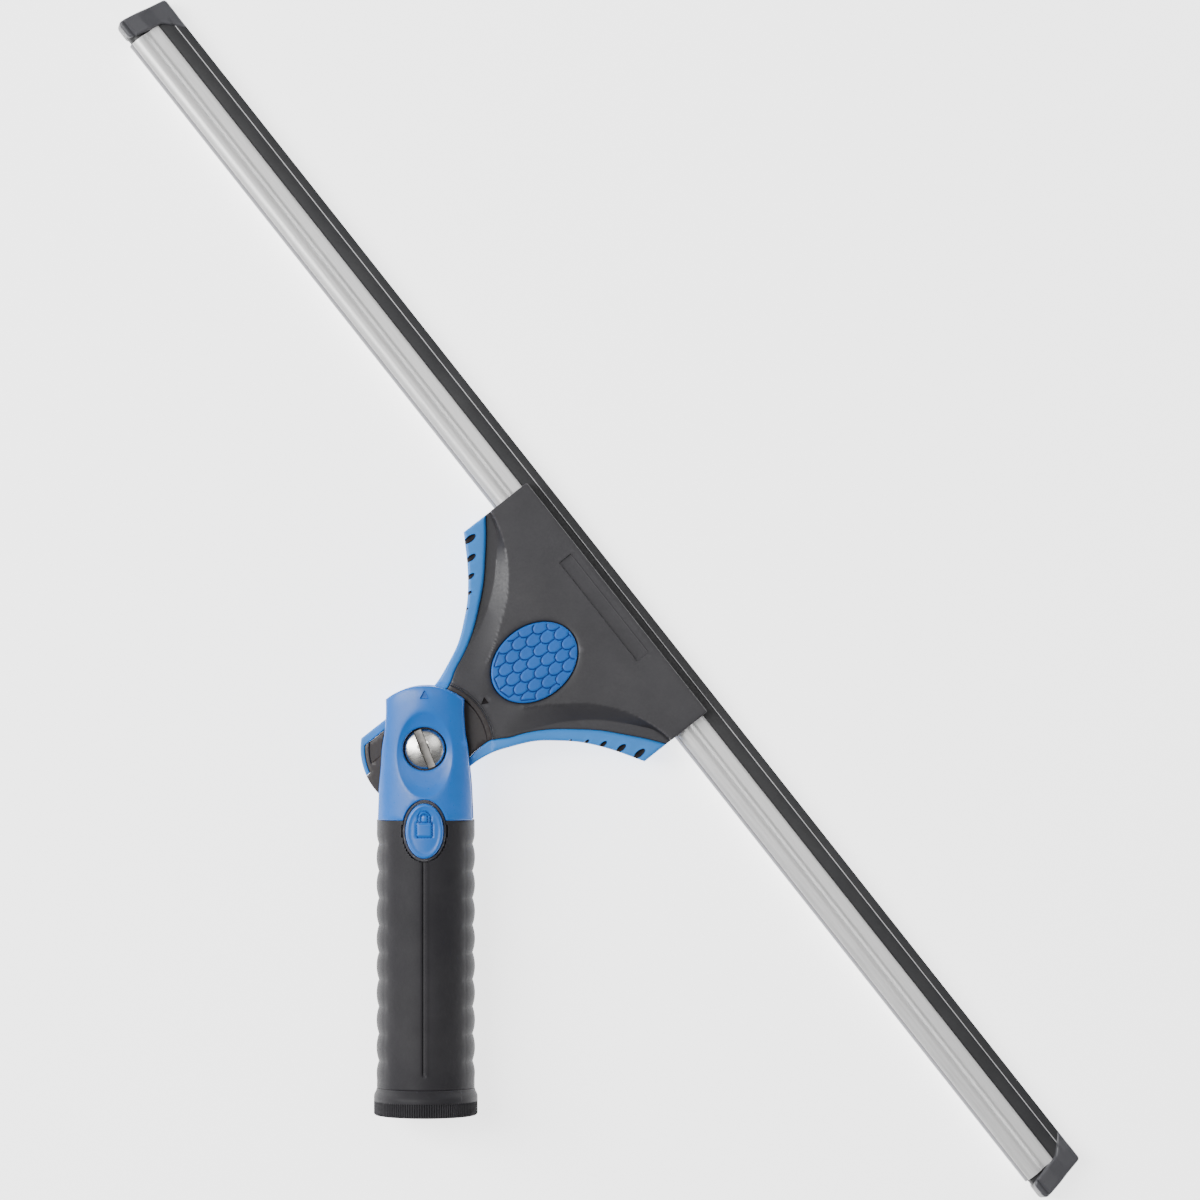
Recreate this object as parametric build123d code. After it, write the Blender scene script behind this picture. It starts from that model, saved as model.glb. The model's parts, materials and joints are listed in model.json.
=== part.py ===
from build123d import *
import os
from math import cos, radians, sin, sqrt, tan

# Swivel-head window squeegee, lying on its back.
# Origin: centre of the pole socket's mouth, at the handle's end.
# +Y runs up the handle to the pivot, +Z comes out of the front face.
# The head is built aligned with the handle, pivot at the origin, then turned to its rest angle.

# ---- overall sizes (mm) ----
pivot_y = 113.1          # socket mouth to pivot axis
blade_length = 458.0     # over the end caps, at the lip
blade_shift = -3.4       # blade centre from the head's own axis
blade_tilt = 11.0        # degrees the blade plane leans back from the handle
bend_h = 21.0            # pivot axis to the line where the head bends back
notch_pitch = 12.93      # degrees between lock holes
rest_notch = 4           # lock holes from straight to the rest angle
end_notch = 7            # lock holes from straight to either end of the swivel

# ---- clearances and fits ----
running_fit = 0.05       # radial, turning pairs
slide_fit = 0.15         # round a part that slides
seat_fit = 0.05          # round a part that is held still
swing_gap = 0.4          # head to handle, faces that pass each other
face_gap = 0.05          # between flat faces that rub

# ---- handle ----
socket_r = 11.0
socket_depth = 62.0
socket_wall = 1.6
socket_end_wall = 4.0
arm_half_width = 11.0    # fork arms, and the solid block below them
arm_thickness = 2.6
arm_end_r = 17.4
block_relief = 0.4       # further gap between the block and the hub's round end
grip_width = 30.4
grip_depth = 28.0
grip_top_drop = 21.9     # pivot axis down to the top of the black grip
grip_notch_pitch = 8.36
grip_notch_depth = 0.5
grip_notch_r = 1.6
grip_notch_count = 9
grip_first_notch = 8.35  # grip's lower end to its first notch
grip_plain_top = 4.0     # no notch this close to the grip's top
crease_half = 0.35
crease_depth = 0.4
crease_length = 66.3
crease_start = 4.3       # grip's lower end to the crease
collar_length = 8.4
collar_r = 16.0
collar_rim_length = 4.8
collar_chamfer = 0.8
collar_rib_count = 60
collar_rib_length = 3.9
collar_rib_depth = 0.35
collar_rib_width = 0.7
collar_rib_start = 0.4

# ---- fork shells ----
shell_top_r = 19.4
shell_half_top = 12.05
shell_half_waist = 11.9
shell_half_pivot = 13.0
shell_half_base = 14.6
shell_waist_ratio = 0.55 # waist's height as a share of the straight side above the pivot
shell_crown_x = 17.0     # half width of the ellipse that crowns the shells
shell_screw_x = 8.2
shell_screw_rise = 5.0   # above the black grip
shell_screw_cover = 1.0  # shell left under the screw's head
screw_end_gap = 0.3      # a screw's tip to the face that it stops short of
dish_half_x = 8.5
dish_half_y = 13.1
dish_drop = 1.7          # pivot axis down to the dish's centre
dish_depth = 1.7
arrow_size = 2.8
arrow_depth = 0.4
arrow_rise = 15.6        # pivot axis up to the arrow's base

# ---- pivot ----
pivot_shank_r = 3.0
bush_wall = 1.5
screw_head_r = 6.15
screw_head_height = 2.4
screw_head_round = 1.2
screw_hole_r = 6.7
screw_slot_half = 1.3
screw_slot_depth = 1.1
screw_slot_turn = 21.8   # degrees from the handle axis
hub_half = 5.0           # half thickness of the hub
friction_outer_r = 8.6
friction_thickness = 0.95
washer_thickness = 0.8
nut_flat_half = 5.0
nut_height = 3.4

# ---- lock ----
button_half_x = 5.8
button_half_y = 8.45
button_drop = 25.1       # pivot axis down to the button's centre
button_proud = 0.7       # button's crown above the handle's
button_round = 0.5
icon_case_x = 5.0
icon_case_y = 4.6
icon_case_rise = 0.2     # padlock case's middle above the button's
icon_shackle_r = 1.9
icon_line = 0.45
icon_depth = 0.5
lock_travel = 1.8
plate_stop_gap = 0.2     # pressed lock plate to the fork arm
plate_thickness = 1.2
plate_half_x = 3.0
plate_corner_r = 1.0
plate_overhang = 2.0     # plate's lower end beyond the button
lock_pin_r = 1.5
lock_pin_chamfer = 0.3
lock_circle_r = 11.0     # lock holes about the pivot
lock_pin_lift = 0.25     # pin's tip above the hub when it is free
bezel_wall = 0.8
bezel_proud = 0.3
spring_wire_r = 0.3
spring_coil_r = 1.9
spring_turns = 5.5
spring_pocket_r = 2.7
spring_floor_z = 3.0
spring_drop = 28.0       # pivot axis down to the spring

# ---- head ----
recess_r = 20.8          # recess that the fork's round end swings in
hub_r = 20.0
hub_half_width = 14.7
hub_side_low_h = -4.0    # lower end of the hub's straight sides
panel_step = 0.5         # sunk panel on the hub's face
disc_land = 1.0          # full-height land round the lock disc
front_w = 6.0            # front cover's face above the blade plane's middle
back_w = 5.4             # back cover's face behind it
core_w = 2.0             # half thickness of the head's middle plate
rim_w = 5.3              # half thickness of the soft rim
yoke_half = 45.1
yoke_top_h = 75.2
yoke_side_h = 50.4       # lower end of the yoke's straight sides
rim_side_h = 59.0        # where the soft rim meets the yoke's side
pad_h = 42.7
pad_half_x = 11.1
pad_half_h = 14.5
pad_depth = 1.6
pad_proud = 0.5
detent_inner_r = 8.9
detent_outer_r = 13.4
detent_thickness = 1.6
head_screw_r = 1.3
head_screw_head_r = 2.6
head_screw_head_height = 1.6
head_screw_cover = 1.5   # front cover left over the screw's tip
head_screw_sink = 0.2    # screw's head below the back cover's face
cross_half_long = 1.7
cross_half_wide = 0.3
cross_depth = 0.7
head_screw_spots = ((30.0, 58.5), (8.0, 28.5))   # across, up from the pivot; mirrored
label_half_x = 19.4
label_half_h = 2.3
label_h = 70.0
label_depth = 0.4

# ---- channel, rubber and end caps ----
tube_h = 65.85
tube_r = 3.55
sheet = 0.7
flange_half = 2.0
flange_edge_h = 73.4
rubber_step_h = 77.5
lip_h = 80.0
rubber_web_half = 1.15
rubber_lip_half = 1.6
cap_width = 5.0
cap_wall = 2.2
cap_splay = 2.9          # how much further out the cap is at its handle side
cap_foot_h = 63.2
cap_foot_chamfer = 1.2
cap_half_tube = 4.2
cap_half_lip = 2.4
cap_top_wall = 0.6       # thick part of the cap beyond the tube
cap_shoulder = 1.0       # beyond the channel's edge
cap_shoulder_step = 0.4

# ---- channel clip ----
clip_half_x = 7.0
clip_thickness = 0.8
clip_corner_r = 1.5
clip_overlap = 0.9       # clip's end past the tube's near side
clip_room = 1.0          # round the clip's edges
clip_head_room = 1.4     # over the clip for its screws' heads
clip_low_h = 30.0
clip_screw_h = 36.0
clip_screw_x = 4.5
clip_screw_r = 1.1
clip_screw_head_r = 2.0
clip_screw_head_height = 1.0

# ---- outlines of the head's right half: across, up from the pivot ----
# Outer edge, from the hub up to the yoke's corner.
neck_points = (
    (13.6, 3.0), (12.9, 8.5), (13.7, 14.9), (15.8, 20.7), (19.0, 27.5),
    (23.1, 33.0), (28.5, 38.9), (35.9, 44.7),
)
# Line where the soft rim meets the black covers.
rim_points = (
    (10.6, 8.5), (10.2, 15.0), (10.9, 18.5), (13.3, 22.5), (15.8, 28.0), (19.7, 34.4),
    (25.0, 41.0), (29.5, 46.0), (34.5, 50.5), (40.0, 55.2),
)
rim_width = 2.5          # at the hub's sides
rim_wrap = 1.4           # at the hub's round end
tongue_half = 4.7        # half width of the black tongue between the rim's ends
# Slots in the soft rim: across, up, length.
rim_slots = (
    (42.2, 50.6, 4.2), (37.4, 47.2, 3.6), (33.0, 43.6, 2.8), (29.2, 40.1, 1.9), (25.8, 36.4, 1.2),
)
rim_slot_ratio = 0.42    # width over length
rim_slot_depth = 0.8

# ---- values worked out from the sizes above ----
tilt = radians(blade_tilt)
swivel_angle = rest_notch * notch_pitch
slot_half = hub_half + face_gap + friction_thickness   # half of the gap between the fork arms
arm_outer = slot_half + arm_thickness
block_top = pivot_y - hub_r - swing_gap - block_relief
grip_top = pivot_y - grip_top_drop
crown_z = grip_depth / 2
core_r = socket_r + socket_wall
button_y = pivot_y - button_drop
button_top = crown_z + button_proud
plate_low_z = arm_outer + plate_stop_gap + lock_travel
button_base_z = plate_low_z + plate_thickness
plate_low_y = button_y - button_half_y - plate_overhang
pin_y = pivot_y - lock_circle_r
plate_high_y = pin_y + plate_half_x
bush_r = pivot_shank_r + bush_wall
hub_bore_r = bush_r + running_fit
spring_y = pivot_y - spring_drop
shell_screw_y = grip_top + shell_screw_rise
shell_screw_seat = arm_outer + shell_screw_cover
channel_length = blade_length - 2 * cap_width
rubber_length = blade_length - 2 * cap_wall
head_place = Location((0, pivot_y, 0), (0, 0, -swivel_angle))
reach = 60.0             # longer than any cut needs
lap = 2.0                # how far a shape runs into the one it joins or past the one it cuts


def along(h, w=0.0):
    """Distance up the blade plane of a point at height h and offset w from its middle."""
    return (h - bend_h - w * sin(tilt)) / cos(tilt)


tube_v = along(tube_h)
flange_v = along(flange_edge_h, flange_half)
step_v = along(rubber_step_h, rubber_lip_half)
lip_v = along(lip_h, rubber_lip_half)


def prism(sketch, z_low, z_high):
    """The sketch as a solid between two heights."""
    return extrude(Plane.XY.offset(z_low) * sketch, amount=z_high - z_low)


def rod(radius, z_low, z_high, x=0.0, y=0.0):
    """A round solid along Z."""
    return prism(Pos(x, y) * Circle(radius), z_low, z_high)


def ring(outer, inner, z_low, z_high, y=0.0):
    """A flat washer about a Z axis."""
    return rod(outer, z_low, z_high, 0, y) - rod(inner, z_low - lap, z_high + lap, 0, y)


def block(x_low, x_high, y_low, y_high, z_low, z_high):
    """A box given by its corners."""
    size = (x_high - x_low, y_high - y_low, z_high - z_low)
    middle = ((x_low + x_high) / 2, (y_low + y_high) / 2, (z_low + z_high) / 2)
    return Pos(*middle) * Box(*size)


def tube_y(radius, y_low, y_high):
    """A round solid along Y, about the handle axis."""
    return Pos(0, (y_low + y_high) / 2, 0) * Rot(90, 0, 0) * Cylinder(radius, y_high - y_low)


def oval_y(half_x, half_z, y_low, y_high):
    """An oval solid along Y, about the handle axis."""
    face = Plane(origin=(0, y_low, 0), x_dir=(1, 0, 0), z_dir=(0, 1, 0)) * Ellipse(half_x, half_z)
    return extrude(face, amount=y_high - y_low)


def mirrored(solid):
    """The same solid on the other side of the head's axis."""
    return mirror(solid, about=Plane.YZ)


# ================= handle =================

def core_blank():
    """Outer form of the handle's core: tube, solid block and fork arms, with no holes."""
    body = tube_y(core_r, 0, socket_depth + socket_end_wall)
    body += block(-arm_half_width, arm_half_width, socket_depth, block_top, -arm_outer, arm_outer)
    arm_shape = Pos(0, pivot_y) * Circle(arm_end_r)
    arm_shape &= Pos(0, pivot_y) * Rectangle(2 * arm_half_width, 2 * arm_end_r)
    arm_middle = (block_top - lap + pivot_y) / 2
    arm_shape += Pos(0, arm_middle) * Rectangle(2 * arm_half_width, pivot_y - block_top + lap)
    return body + prism(arm_shape, -arm_outer, arm_outer)


def make_handle_core():
    """Socket tube, solid block and the two fork arms, in one moulding."""
    body = core_blank()
    body -= tube_y(socket_r, -lap, socket_depth)
    body -= block(-reach, reach, block_top, pivot_y + reach, -slot_half, slot_half)
    body -= rod(pivot_shank_r + seat_fit, -reach, reach, 0, pivot_y)
    body -= rod(lock_pin_r + slide_fit, 0, reach, 0, pin_y)
    body -= rod(spring_pocket_r, spring_floor_z, reach, 0, spring_y)
    for x in (-shell_screw_x, shell_screw_x):
        body -= rod(head_screw_r, -reach, -slot_half - screw_end_gap, x, shell_screw_y)
    return body


def lock_pocket():
    """The space that the lock plate slides in."""
    low = plate_low_z - lock_travel - 2 * slide_fit
    return block(
        -plate_half_x - slide_fit, plate_half_x + slide_fit,
        plate_low_y - slide_fit, plate_high_y + slide_fit,
        low, button_base_z + slide_fit)


def button_opening():
    """The oval well that the button travels in, wider at the top for its bezel."""
    well = Ellipse(button_half_x + slide_fit, button_half_y + slide_fit)
    wide = Ellipse(button_half_x + slide_fit + bezel_wall, button_half_y + slide_fit + bezel_wall)
    opening = prism(Pos(0, button_y) * well, button_base_z - lock_travel - slide_fit, reach)
    return opening + prism(Pos(0, button_y) * wide, button_base_z + slide_fit, reach)


def make_grip_sleeve(blank):
    """Soft sleeve with a row of shallow scallops down each side and a crease down the front."""
    body = oval_y(grip_width / 2, grip_depth / 2, collar_length, grip_top)
    for index in range(grip_notch_count):
        y = collar_length + grip_first_notch + index * grip_notch_pitch
        if y > grip_top - grip_plain_top:
            break
        offset = grip_width / 2 + grip_notch_r - grip_notch_depth
        scallop = rod(grip_notch_r, -reach, reach, offset, y)
        body -= scallop
        body -= mirrored(scallop)
    low = collar_length + crease_start
    high = min(low + crease_length, button_y - button_half_y - 2 * bezel_wall)
    body -= block(-crease_half, crease_half, low, high, crown_z - crease_depth, reach)
    body -= blank
    body -= rod(spring_pocket_r, spring_floor_z, button_base_z, 0, spring_y)
    body -= lock_pocket()
    body -= button_opening()
    return body


def make_end_collar(blank):
    """Flared ring that closes the grip's lower end, ribbed round its rim."""
    lower = oval_y(collar_r, collar_r, 0, collar_rim_length)
    lower = chamfer(lower.faces().sort_by(Axis.Y)[0].edges(), collar_chamfer)
    face_low = Plane(origin=(0, collar_rim_length, 0), x_dir=(1, 0, 0), z_dir=(0, 1, 0))
    face_top = Plane(origin=(0, collar_length, 0), x_dir=(1, 0, 0), z_dir=(0, 1, 0))
    neck = loft([face_low * Circle(collar_r), face_top * Ellipse(grip_width / 2, grip_depth / 2)])
    body = lower + neck - blank
    groove_size = (collar_rib_width, collar_rib_length, 2 * collar_rib_depth)
    groove = Pos(0, collar_rib_length / 2 + collar_rib_start, collar_r) * Box(*groove_size)
    for index in range(collar_rib_count):
        body -= Rot(0, index * 360 / collar_rib_count, 0) * groove
    return body


def fork_outline():
    """Outline of a fork shell, seen from the front."""
    base_y = grip_top
    side_y = sqrt(shell_top_r ** 2 - shell_half_top ** 2)
    right = [
        (shell_half_base, base_y),
        (shell_half_pivot, pivot_y),
        (shell_half_waist, pivot_y + shell_waist_ratio * side_y),
        (shell_half_top, pivot_y + side_y),
    ]
    left = [(-x, y) for x, y in reversed(right)]
    edges = [
        Line(left[-1], right[0]),
        Spline(*right),
        ThreePointArc(right[-1], (0, pivot_y + shell_top_r), left[0]),
        Spline(*left),
    ]
    return make_face(Wire(edges))


def shell_blank():
    """Crowned body of the front fork shell, before its holes."""
    body = prism(fork_outline(), slot_half, crown_z + lap)
    crown = oval_y(shell_crown_x, crown_z, grip_top - lap, pivot_y + reach)
    return body & crown


def make_fork_front_shell(blank):
    """Front half of the fork's cover, dished round the pivot screw."""
    body = shell_blank()
    radius_x = (dish_half_x ** 2 + dish_depth ** 2) / (2 * dish_depth)
    ball = Sphere(radius_x)
    ball = scale(ball, by=(1, dish_half_y / dish_half_x, 1))
    dish = Pos(0, pivot_y - dish_drop, crown_z - dish_depth + radius_x) * ball
    body -= dish
    arrow = Polyline((-arrow_size / 2, 0), (0, arrow_size), (arrow_size / 2, 0), close=True)
    arrow_face = Pos(0, pivot_y + arrow_rise) * make_face(arrow)
    body -= prism(arrow_face, crown_z - arrow_depth, crown_z + lap)
    body -= blank
    body -= rod(screw_hole_r, arm_outer - lap, reach, 0, pivot_y)
    body -= rod(lock_pin_r + slide_fit, 0, button_base_z, 0, pin_y)
    body -= lock_pocket()
    body -= button_opening()
    return body


def make_fork_back_shell(blank):
    """Back half of the fork's cover, with a pocket for the nut."""
    body = mirror(shell_blank(), about=Plane.XY)
    body -= blank
    nut_place = Pos(0, pivot_y)
    nut_shape = RegularPolygon(nut_flat_half + seat_fit, 6, major_radius=False)
    body -= prism(nut_place * nut_shape, -reach, -arm_outer - washer_thickness)
    body -= rod(screw_head_r + seat_fit, -arm_outer - washer_thickness, -arm_outer, 0, pivot_y)
    for x in (-shell_screw_x, shell_screw_x):
        body -= rod(head_screw_r, -reach, 0, x, shell_screw_y)
        body -= rod(head_screw_head_r + seat_fit, -reach, -shell_screw_seat, x, shell_screw_y)
    return body


def cross_recess(x, y, z_low, z_high):
    """Cross-shaped recess for a screwdriver."""
    bar = Rectangle(2 * cross_half_long, 2 * cross_half_wide)
    return prism(Pos(x, y) * (bar + Rot(0, 0, 90) * bar), z_low, z_high)


def make_shell_screws():
    """Two screws that hold the back shell to the fork's base."""
    screws = []
    for x in (-shell_screw_x, shell_screw_x):
        one = rod(head_screw_r, -shell_screw_seat, -slot_half - screw_end_gap, x, shell_screw_y)
        head_low = -shell_screw_seat - head_screw_head_height
        head = rod(head_screw_head_r, head_low, -shell_screw_seat, x, shell_screw_y)
        head -= cross_recess(x, shell_screw_y, head_low - lap, head_low + cross_depth)
        screws.append(one + head)
    return screws


# ================= pivot =================

def make_pivot_screw():
    """Slotted pan-head screw that the head turns on."""
    head_low = arm_outer + washer_thickness
    head = rod(screw_head_r, head_low, head_low + screw_head_height, 0, pivot_y)
    head = fillet(head.faces().sort_by(Axis.Z)[-1].edges(), screw_head_round)
    slot = Box(2 * screw_slot_half, 4 * screw_head_r, 2 * screw_slot_depth)
    slot_place = Location((0, pivot_y, head_low + screw_head_height), (0, 0, screw_slot_turn))
    head -= slot_place * slot
    shank = rod(pivot_shank_r, -arm_outer - washer_thickness - nut_height, head_low, 0, pivot_y)
    return head + shank


def make_pivot_nut():
    """Hexagon nut, held in the back shell."""
    high = -arm_outer - washer_thickness
    shape = Pos(0, pivot_y) * RegularPolygon(nut_flat_half, 6, major_radius=False)
    return prism(shape, high - nut_height, high) - rod(pivot_shank_r, -reach, reach, 0, pivot_y)


def washer(outer, inner, z_low, z_high):
    """A washer on the pivot."""
    return ring(outer, inner, z_low, z_high, pivot_y)


# ================= lock =================

def make_lock_button():
    """Oval push button with a gently crowned face and a sunk padlock outline."""
    oval = Pos(0, button_y) * Ellipse(button_half_x, button_half_y)
    body = prism(oval, button_base_z, button_top)
    body &= oval_y(shell_crown_x, button_top, button_y - reach, button_y + reach)
    body = fillet(body.faces().sort_by(Axis.Z)[-1].edges(), button_round)
    case_y = button_y + icon_case_rise
    case = Rectangle(icon_case_x, icon_case_y)
    case -= Rectangle(icon_case_x - 2 * icon_line, icon_case_y - 2 * icon_line)
    shackle = Circle(icon_shackle_r) - Circle(icon_shackle_r - icon_line)
    shackle &= Pos(0, icon_shackle_r) * Rectangle(2 * icon_shackle_r, 2 * icon_shackle_r)
    icon = Pos(0, case_y) * case + Pos(0, case_y + icon_case_y / 2) * shackle
    return body - prism(icon, button_top - icon_depth, button_top + lap)


def make_lock_plate():
    """Flat plate under the button that carries the lock pin."""
    middle_y = (plate_low_y + plate_high_y) / 2
    length = plate_high_y - plate_low_y
    shape = Pos(0, middle_y) * RectangleRounded(2 * plate_half_x, length, plate_corner_r)
    return prism(shape, plate_low_z, button_base_z)


def make_lock_pin():
    """Pin that drops into one of the hub's lock holes."""
    tip = hub_half + lock_pin_lift
    pin = rod(lock_pin_r, tip, plate_low_z, 0, pin_y)
    return chamfer(pin.faces().sort_by(Axis.Z)[0].edges(), lock_pin_chamfer)


def make_button_bezel():
    """Oval ring that lines the button's hole."""
    top = crown_z + bezel_proud
    outer = Ellipse(button_half_x + slide_fit + bezel_wall, button_half_y + slide_fit + bezel_wall)
    inner = Ellipse(button_half_x + slide_fit, button_half_y + slide_fit)
    body = prism(Pos(0, button_y) * (outer - inner), button_base_z + slide_fit, top)
    return body & oval_y(shell_crown_x, top, button_y - reach, button_y + reach)


def make_button_spring():
    """Coil spring under the lock plate."""
    low = spring_floor_z + spring_wire_r
    height = plate_low_z - spring_floor_z - 2 * spring_wire_r
    path = Helix(pitch=height / spring_turns, height=height, radius=spring_coil_r)
    start = Plane(origin=path @ 0, z_dir=path % 0)
    coil = sweep(start * Circle(spring_wire_r), path=path)
    return Pos(0, spring_y, low) * coil


# ================= head (aligned, pivot at the origin) =================

def side_profile(w_low, w_high, v_end):
    """Side view of the head between two offsets: flat at the hub, then leaning back."""
    def bend(w):
        return (bend_h + w * tan(tilt / 2), w)

    def far(w):
        return (bend_h + v_end * cos(tilt) + w * sin(tilt), w * cos(tilt) - v_end * sin(tilt))

    points = [
        (-reach, w_low), bend(w_low), far(w_low), far(w_high), bend(w_high), (-reach, w_high),
    ]
    plane = Plane(origin=(-reach, 0, 0), x_dir=(0, 1, 0), z_dir=(1, 0, 0))
    return extrude(plane * make_face(Polyline(*points, close=True)), amount=2 * reach)


def mirrored_outline(right_points, low_arc_r, top_h):
    """Closed outline from the right half's points, with a round lower end and a flat top."""
    half = right_points[0][0]
    low = (half, -sqrt(low_arc_r ** 2 - half ** 2))
    corner = right_points[-1]
    top = (corner[0], top_h)
    flip = [(-x, h) for x, h in reversed(right_points)]
    edges = [
        Line(low, right_points[0]),
        Spline(*right_points),
        Line(corner, top),
        Line(top, (-top[0], top_h)),
        Line((-top[0], top_h), flip[0]),
        Spline(*flip),
        Line(flip[-1], (-low[0], low[1])),
        ThreePointArc((-low[0], low[1]), (0, -low_arc_r), low),
    ]
    return make_face(Wire(edges))


def outer_outline():
    """Whole head, soft rim included."""
    points = ((hub_half_width, hub_side_low_h),) + neck_points + ((yoke_half, yoke_side_h),)
    return mirrored_outline(points, hub_r, yoke_top_h)


def inner_outline():
    """Head inside the soft rim."""
    start = (hub_half_width - rim_width, hub_side_low_h)
    points = (start,) + rim_points + ((yoke_half, rim_side_h),)
    tongue = Pos(0, -hub_r / 2) * Rectangle(2 * tongue_half, hub_r) & Circle(hub_r)
    return mirrored_outline(points, hub_r - rim_wrap, yoke_top_h) + tongue


def channel_envelope(fit):
    """Space that the channel fills, with a fit round it."""
    plane = Plane(origin=(-reach, bend_h, 0), x_dir=(0, cos(tilt), -sin(tilt)), z_dir=(1, 0, 0))
    web_length = lip_v + lap - tube_v
    shape = Pos(tube_v, 0) * Circle(tube_r + fit)
    shape += Pos(tube_v + web_length / 2, 0) * Rectangle(web_length, 2 * (flange_half + fit))
    return extrude(plane * shape, amount=2 * reach)


def screw_axis(x, h, w_low, w_high, radius):
    """A round solid square to the blade plane."""
    base = Plane(
        origin=(x, bend_h + along(h) * cos(tilt), -along(h) * sin(tilt)),
        x_dir=(1, 0, 0), z_dir=(0, sin(tilt), cos(tilt)))
    return extrude(base.offset(w_low) * Circle(radius), amount=w_high - w_low)


def head_screw_places():
    """Where the cover screws are, both sides."""
    places = []
    for x, h in head_screw_spots:
        places += [(x, h), (-x, h)]
    return places


def make_head_core():
    """Hub and middle plate, in one moulding."""
    shape = inner_outline()
    hub = prism(shape, -hub_half, hub_half) & rod(bend_h + lap, -reach, reach)
    panel = prism(shape, hub_half - panel_step, reach)
    hub -= panel - rod(detent_outer_r + disc_land, -reach, 2 * reach)
    plate = prism(shape, -reach, reach) & side_profile(-core_w, core_w, lip_v)
    plate -= rod(hub_r - lap, -reach, reach)
    body = hub + plate
    body -= channel_envelope(seat_fit)
    body -= rod(hub_bore_r, -reach, reach)
    body -= ring(detent_outer_r, detent_inner_r, hub_half - detent_thickness, reach)
    for x, h in head_screw_places():
        body -= screw_axis(x, h, -reach, reach, head_screw_r)
    for x in (-clip_screw_x, clip_screw_x):
        body -= screw_axis(x, clip_screw_h, -reach, -screw_end_gap, clip_screw_r)
    return body


def make_detent_disc():
    """Steel ring in the hub's face, with the lock holes."""
    body = ring(detent_outer_r, detent_inner_r, hub_half - detent_thickness, hub_half)
    for index in range(-end_notch, end_notch + 1):
        hole = rod(lock_pin_r + slide_fit, 0, reach, 0, -lock_circle_r)
        body -= Rot(0, 0, index * notch_pitch) * hole
    return body


def make_head_front(core):
    """Black front cover of the yoke, with the thumb pad's pocket and a plain sunk label."""
    body = prism(inner_outline(), -reach, reach) & side_profile(core_w, front_w, lip_v)
    body -= rod(recess_r, -reach, reach)
    body -= core
    body -= channel_envelope(seat_fit)
    body -= pad_blank(front_w - pad_depth, reach, seat_fit)
    label = Pos(0, label_h) * Rectangle(2 * label_half_x, 2 * label_half_h)
    body -= prism(label, -reach, reach) & side_profile(front_w - label_depth, front_w + lap, lip_v)
    for x, h in head_screw_places():
        body -= screw_axis(x, h, 0, front_w - head_screw_cover, head_screw_r)
    return cut_below_bend(body)


def make_head_back(core):
    """Black back cover of the yoke."""
    body = prism(inner_outline(), -reach, reach) & side_profile(-back_w, -core_w, lip_v)
    body -= rod(recess_r, -reach, reach)
    body -= core
    body -= channel_envelope(seat_fit)
    seat = head_screw_head_height - back_w
    for x, h in head_screw_places():
        body -= screw_axis(x, h, -reach, 0, head_screw_r)
        body -= screw_axis(x, h, -reach, seat, head_screw_head_r + seat_fit)
    body -= clip_space()
    return cut_below_bend(body)


def cut_below_bend(body):
    """The part of a cover on the blade's side of the hub."""
    return body - block(-reach, reach, -reach, 0, -reach, reach)


def pad_blank(w_low, w_high, fit):
    """The thumb pad's oval between two offsets from the blade plane."""
    oval = Pos(0, pad_h) * Ellipse(pad_half_x + fit, pad_half_h + fit)
    return prism(oval, -reach, reach) & side_profile(w_low, w_high, lip_v)


def make_rim_side():
    """Soft rim of the head's right side, with a row of slots that shrink towards the neck."""
    shape = outer_outline() - inner_outline()
    shape &= Pos(reach / 2, 0) * Rectangle(reach, 4 * reach)
    body = prism(shape, -reach, reach) & side_profile(-rim_w, rim_w, lip_v)
    body -= rod(detent_outer_r, hub_half - detent_thickness, reach)
    slot_layer = side_profile(rim_w - rim_slot_depth, rim_w + lap, lip_v)
    for x, h, length in rim_slots:
        slot = Pos(x, h) * SlotOverall(length, rim_slot_ratio * length, rotation=90)
        body -= prism(slot, -reach, reach) & slot_layer
    return body


def make_thumb_pad():
    """Oval thumb pad, standing a little proud of the front cover."""
    return pad_blank(front_w - pad_depth, front_w + pad_proud, 0)


def make_head_screws():
    """Four screws from the back cover into the front one."""
    screws = []
    seat = head_screw_head_height - back_w
    tip = front_w - head_screw_cover - screw_end_gap
    for x, h in head_screw_places():
        one = screw_axis(x, h, seat, tip, head_screw_r)
        one += screw_axis(x, h, head_screw_sink - back_w, seat, head_screw_head_r)
        screws.append(one)
    return screws


def clip_space():
    """Room in the back cover for the channel clip and its screws."""
    low = along(clip_low_h) - clip_room
    plane = Plane(origin=(0, bend_h, 0), x_dir=(1, 0, 0), z_dir=(0, sin(tilt), cos(tilt)))
    middle = (low + tube_v) / 2
    shape = Pos(0, middle) * Rectangle(2 * (clip_half_x + clip_room), tube_v - low)
    depth = clip_thickness + clip_head_room
    return extrude(plane.offset(-core_w - depth) * shape, amount=depth)


def make_channel_clip():
    """Flat spring that presses on the channel's tube and stops it sliding."""
    low = along(clip_low_h)
    high = tube_v - tube_r + clip_overlap
    plane = Plane(origin=(0, bend_h, 0), x_dir=(1, 0, 0), z_dir=(0, sin(tilt), cos(tilt)))
    shape = Pos(0, (low + high) / 2) * RectangleRounded(2 * clip_half_x, high - low, clip_corner_r)
    body = extrude(plane.offset(-core_w - clip_thickness) * shape, amount=clip_thickness)
    body -= channel_envelope(seat_fit)
    for x in (-clip_screw_x, clip_screw_x):
        body -= screw_axis(x, clip_screw_h, -reach, reach, clip_screw_r)
    return body


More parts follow.
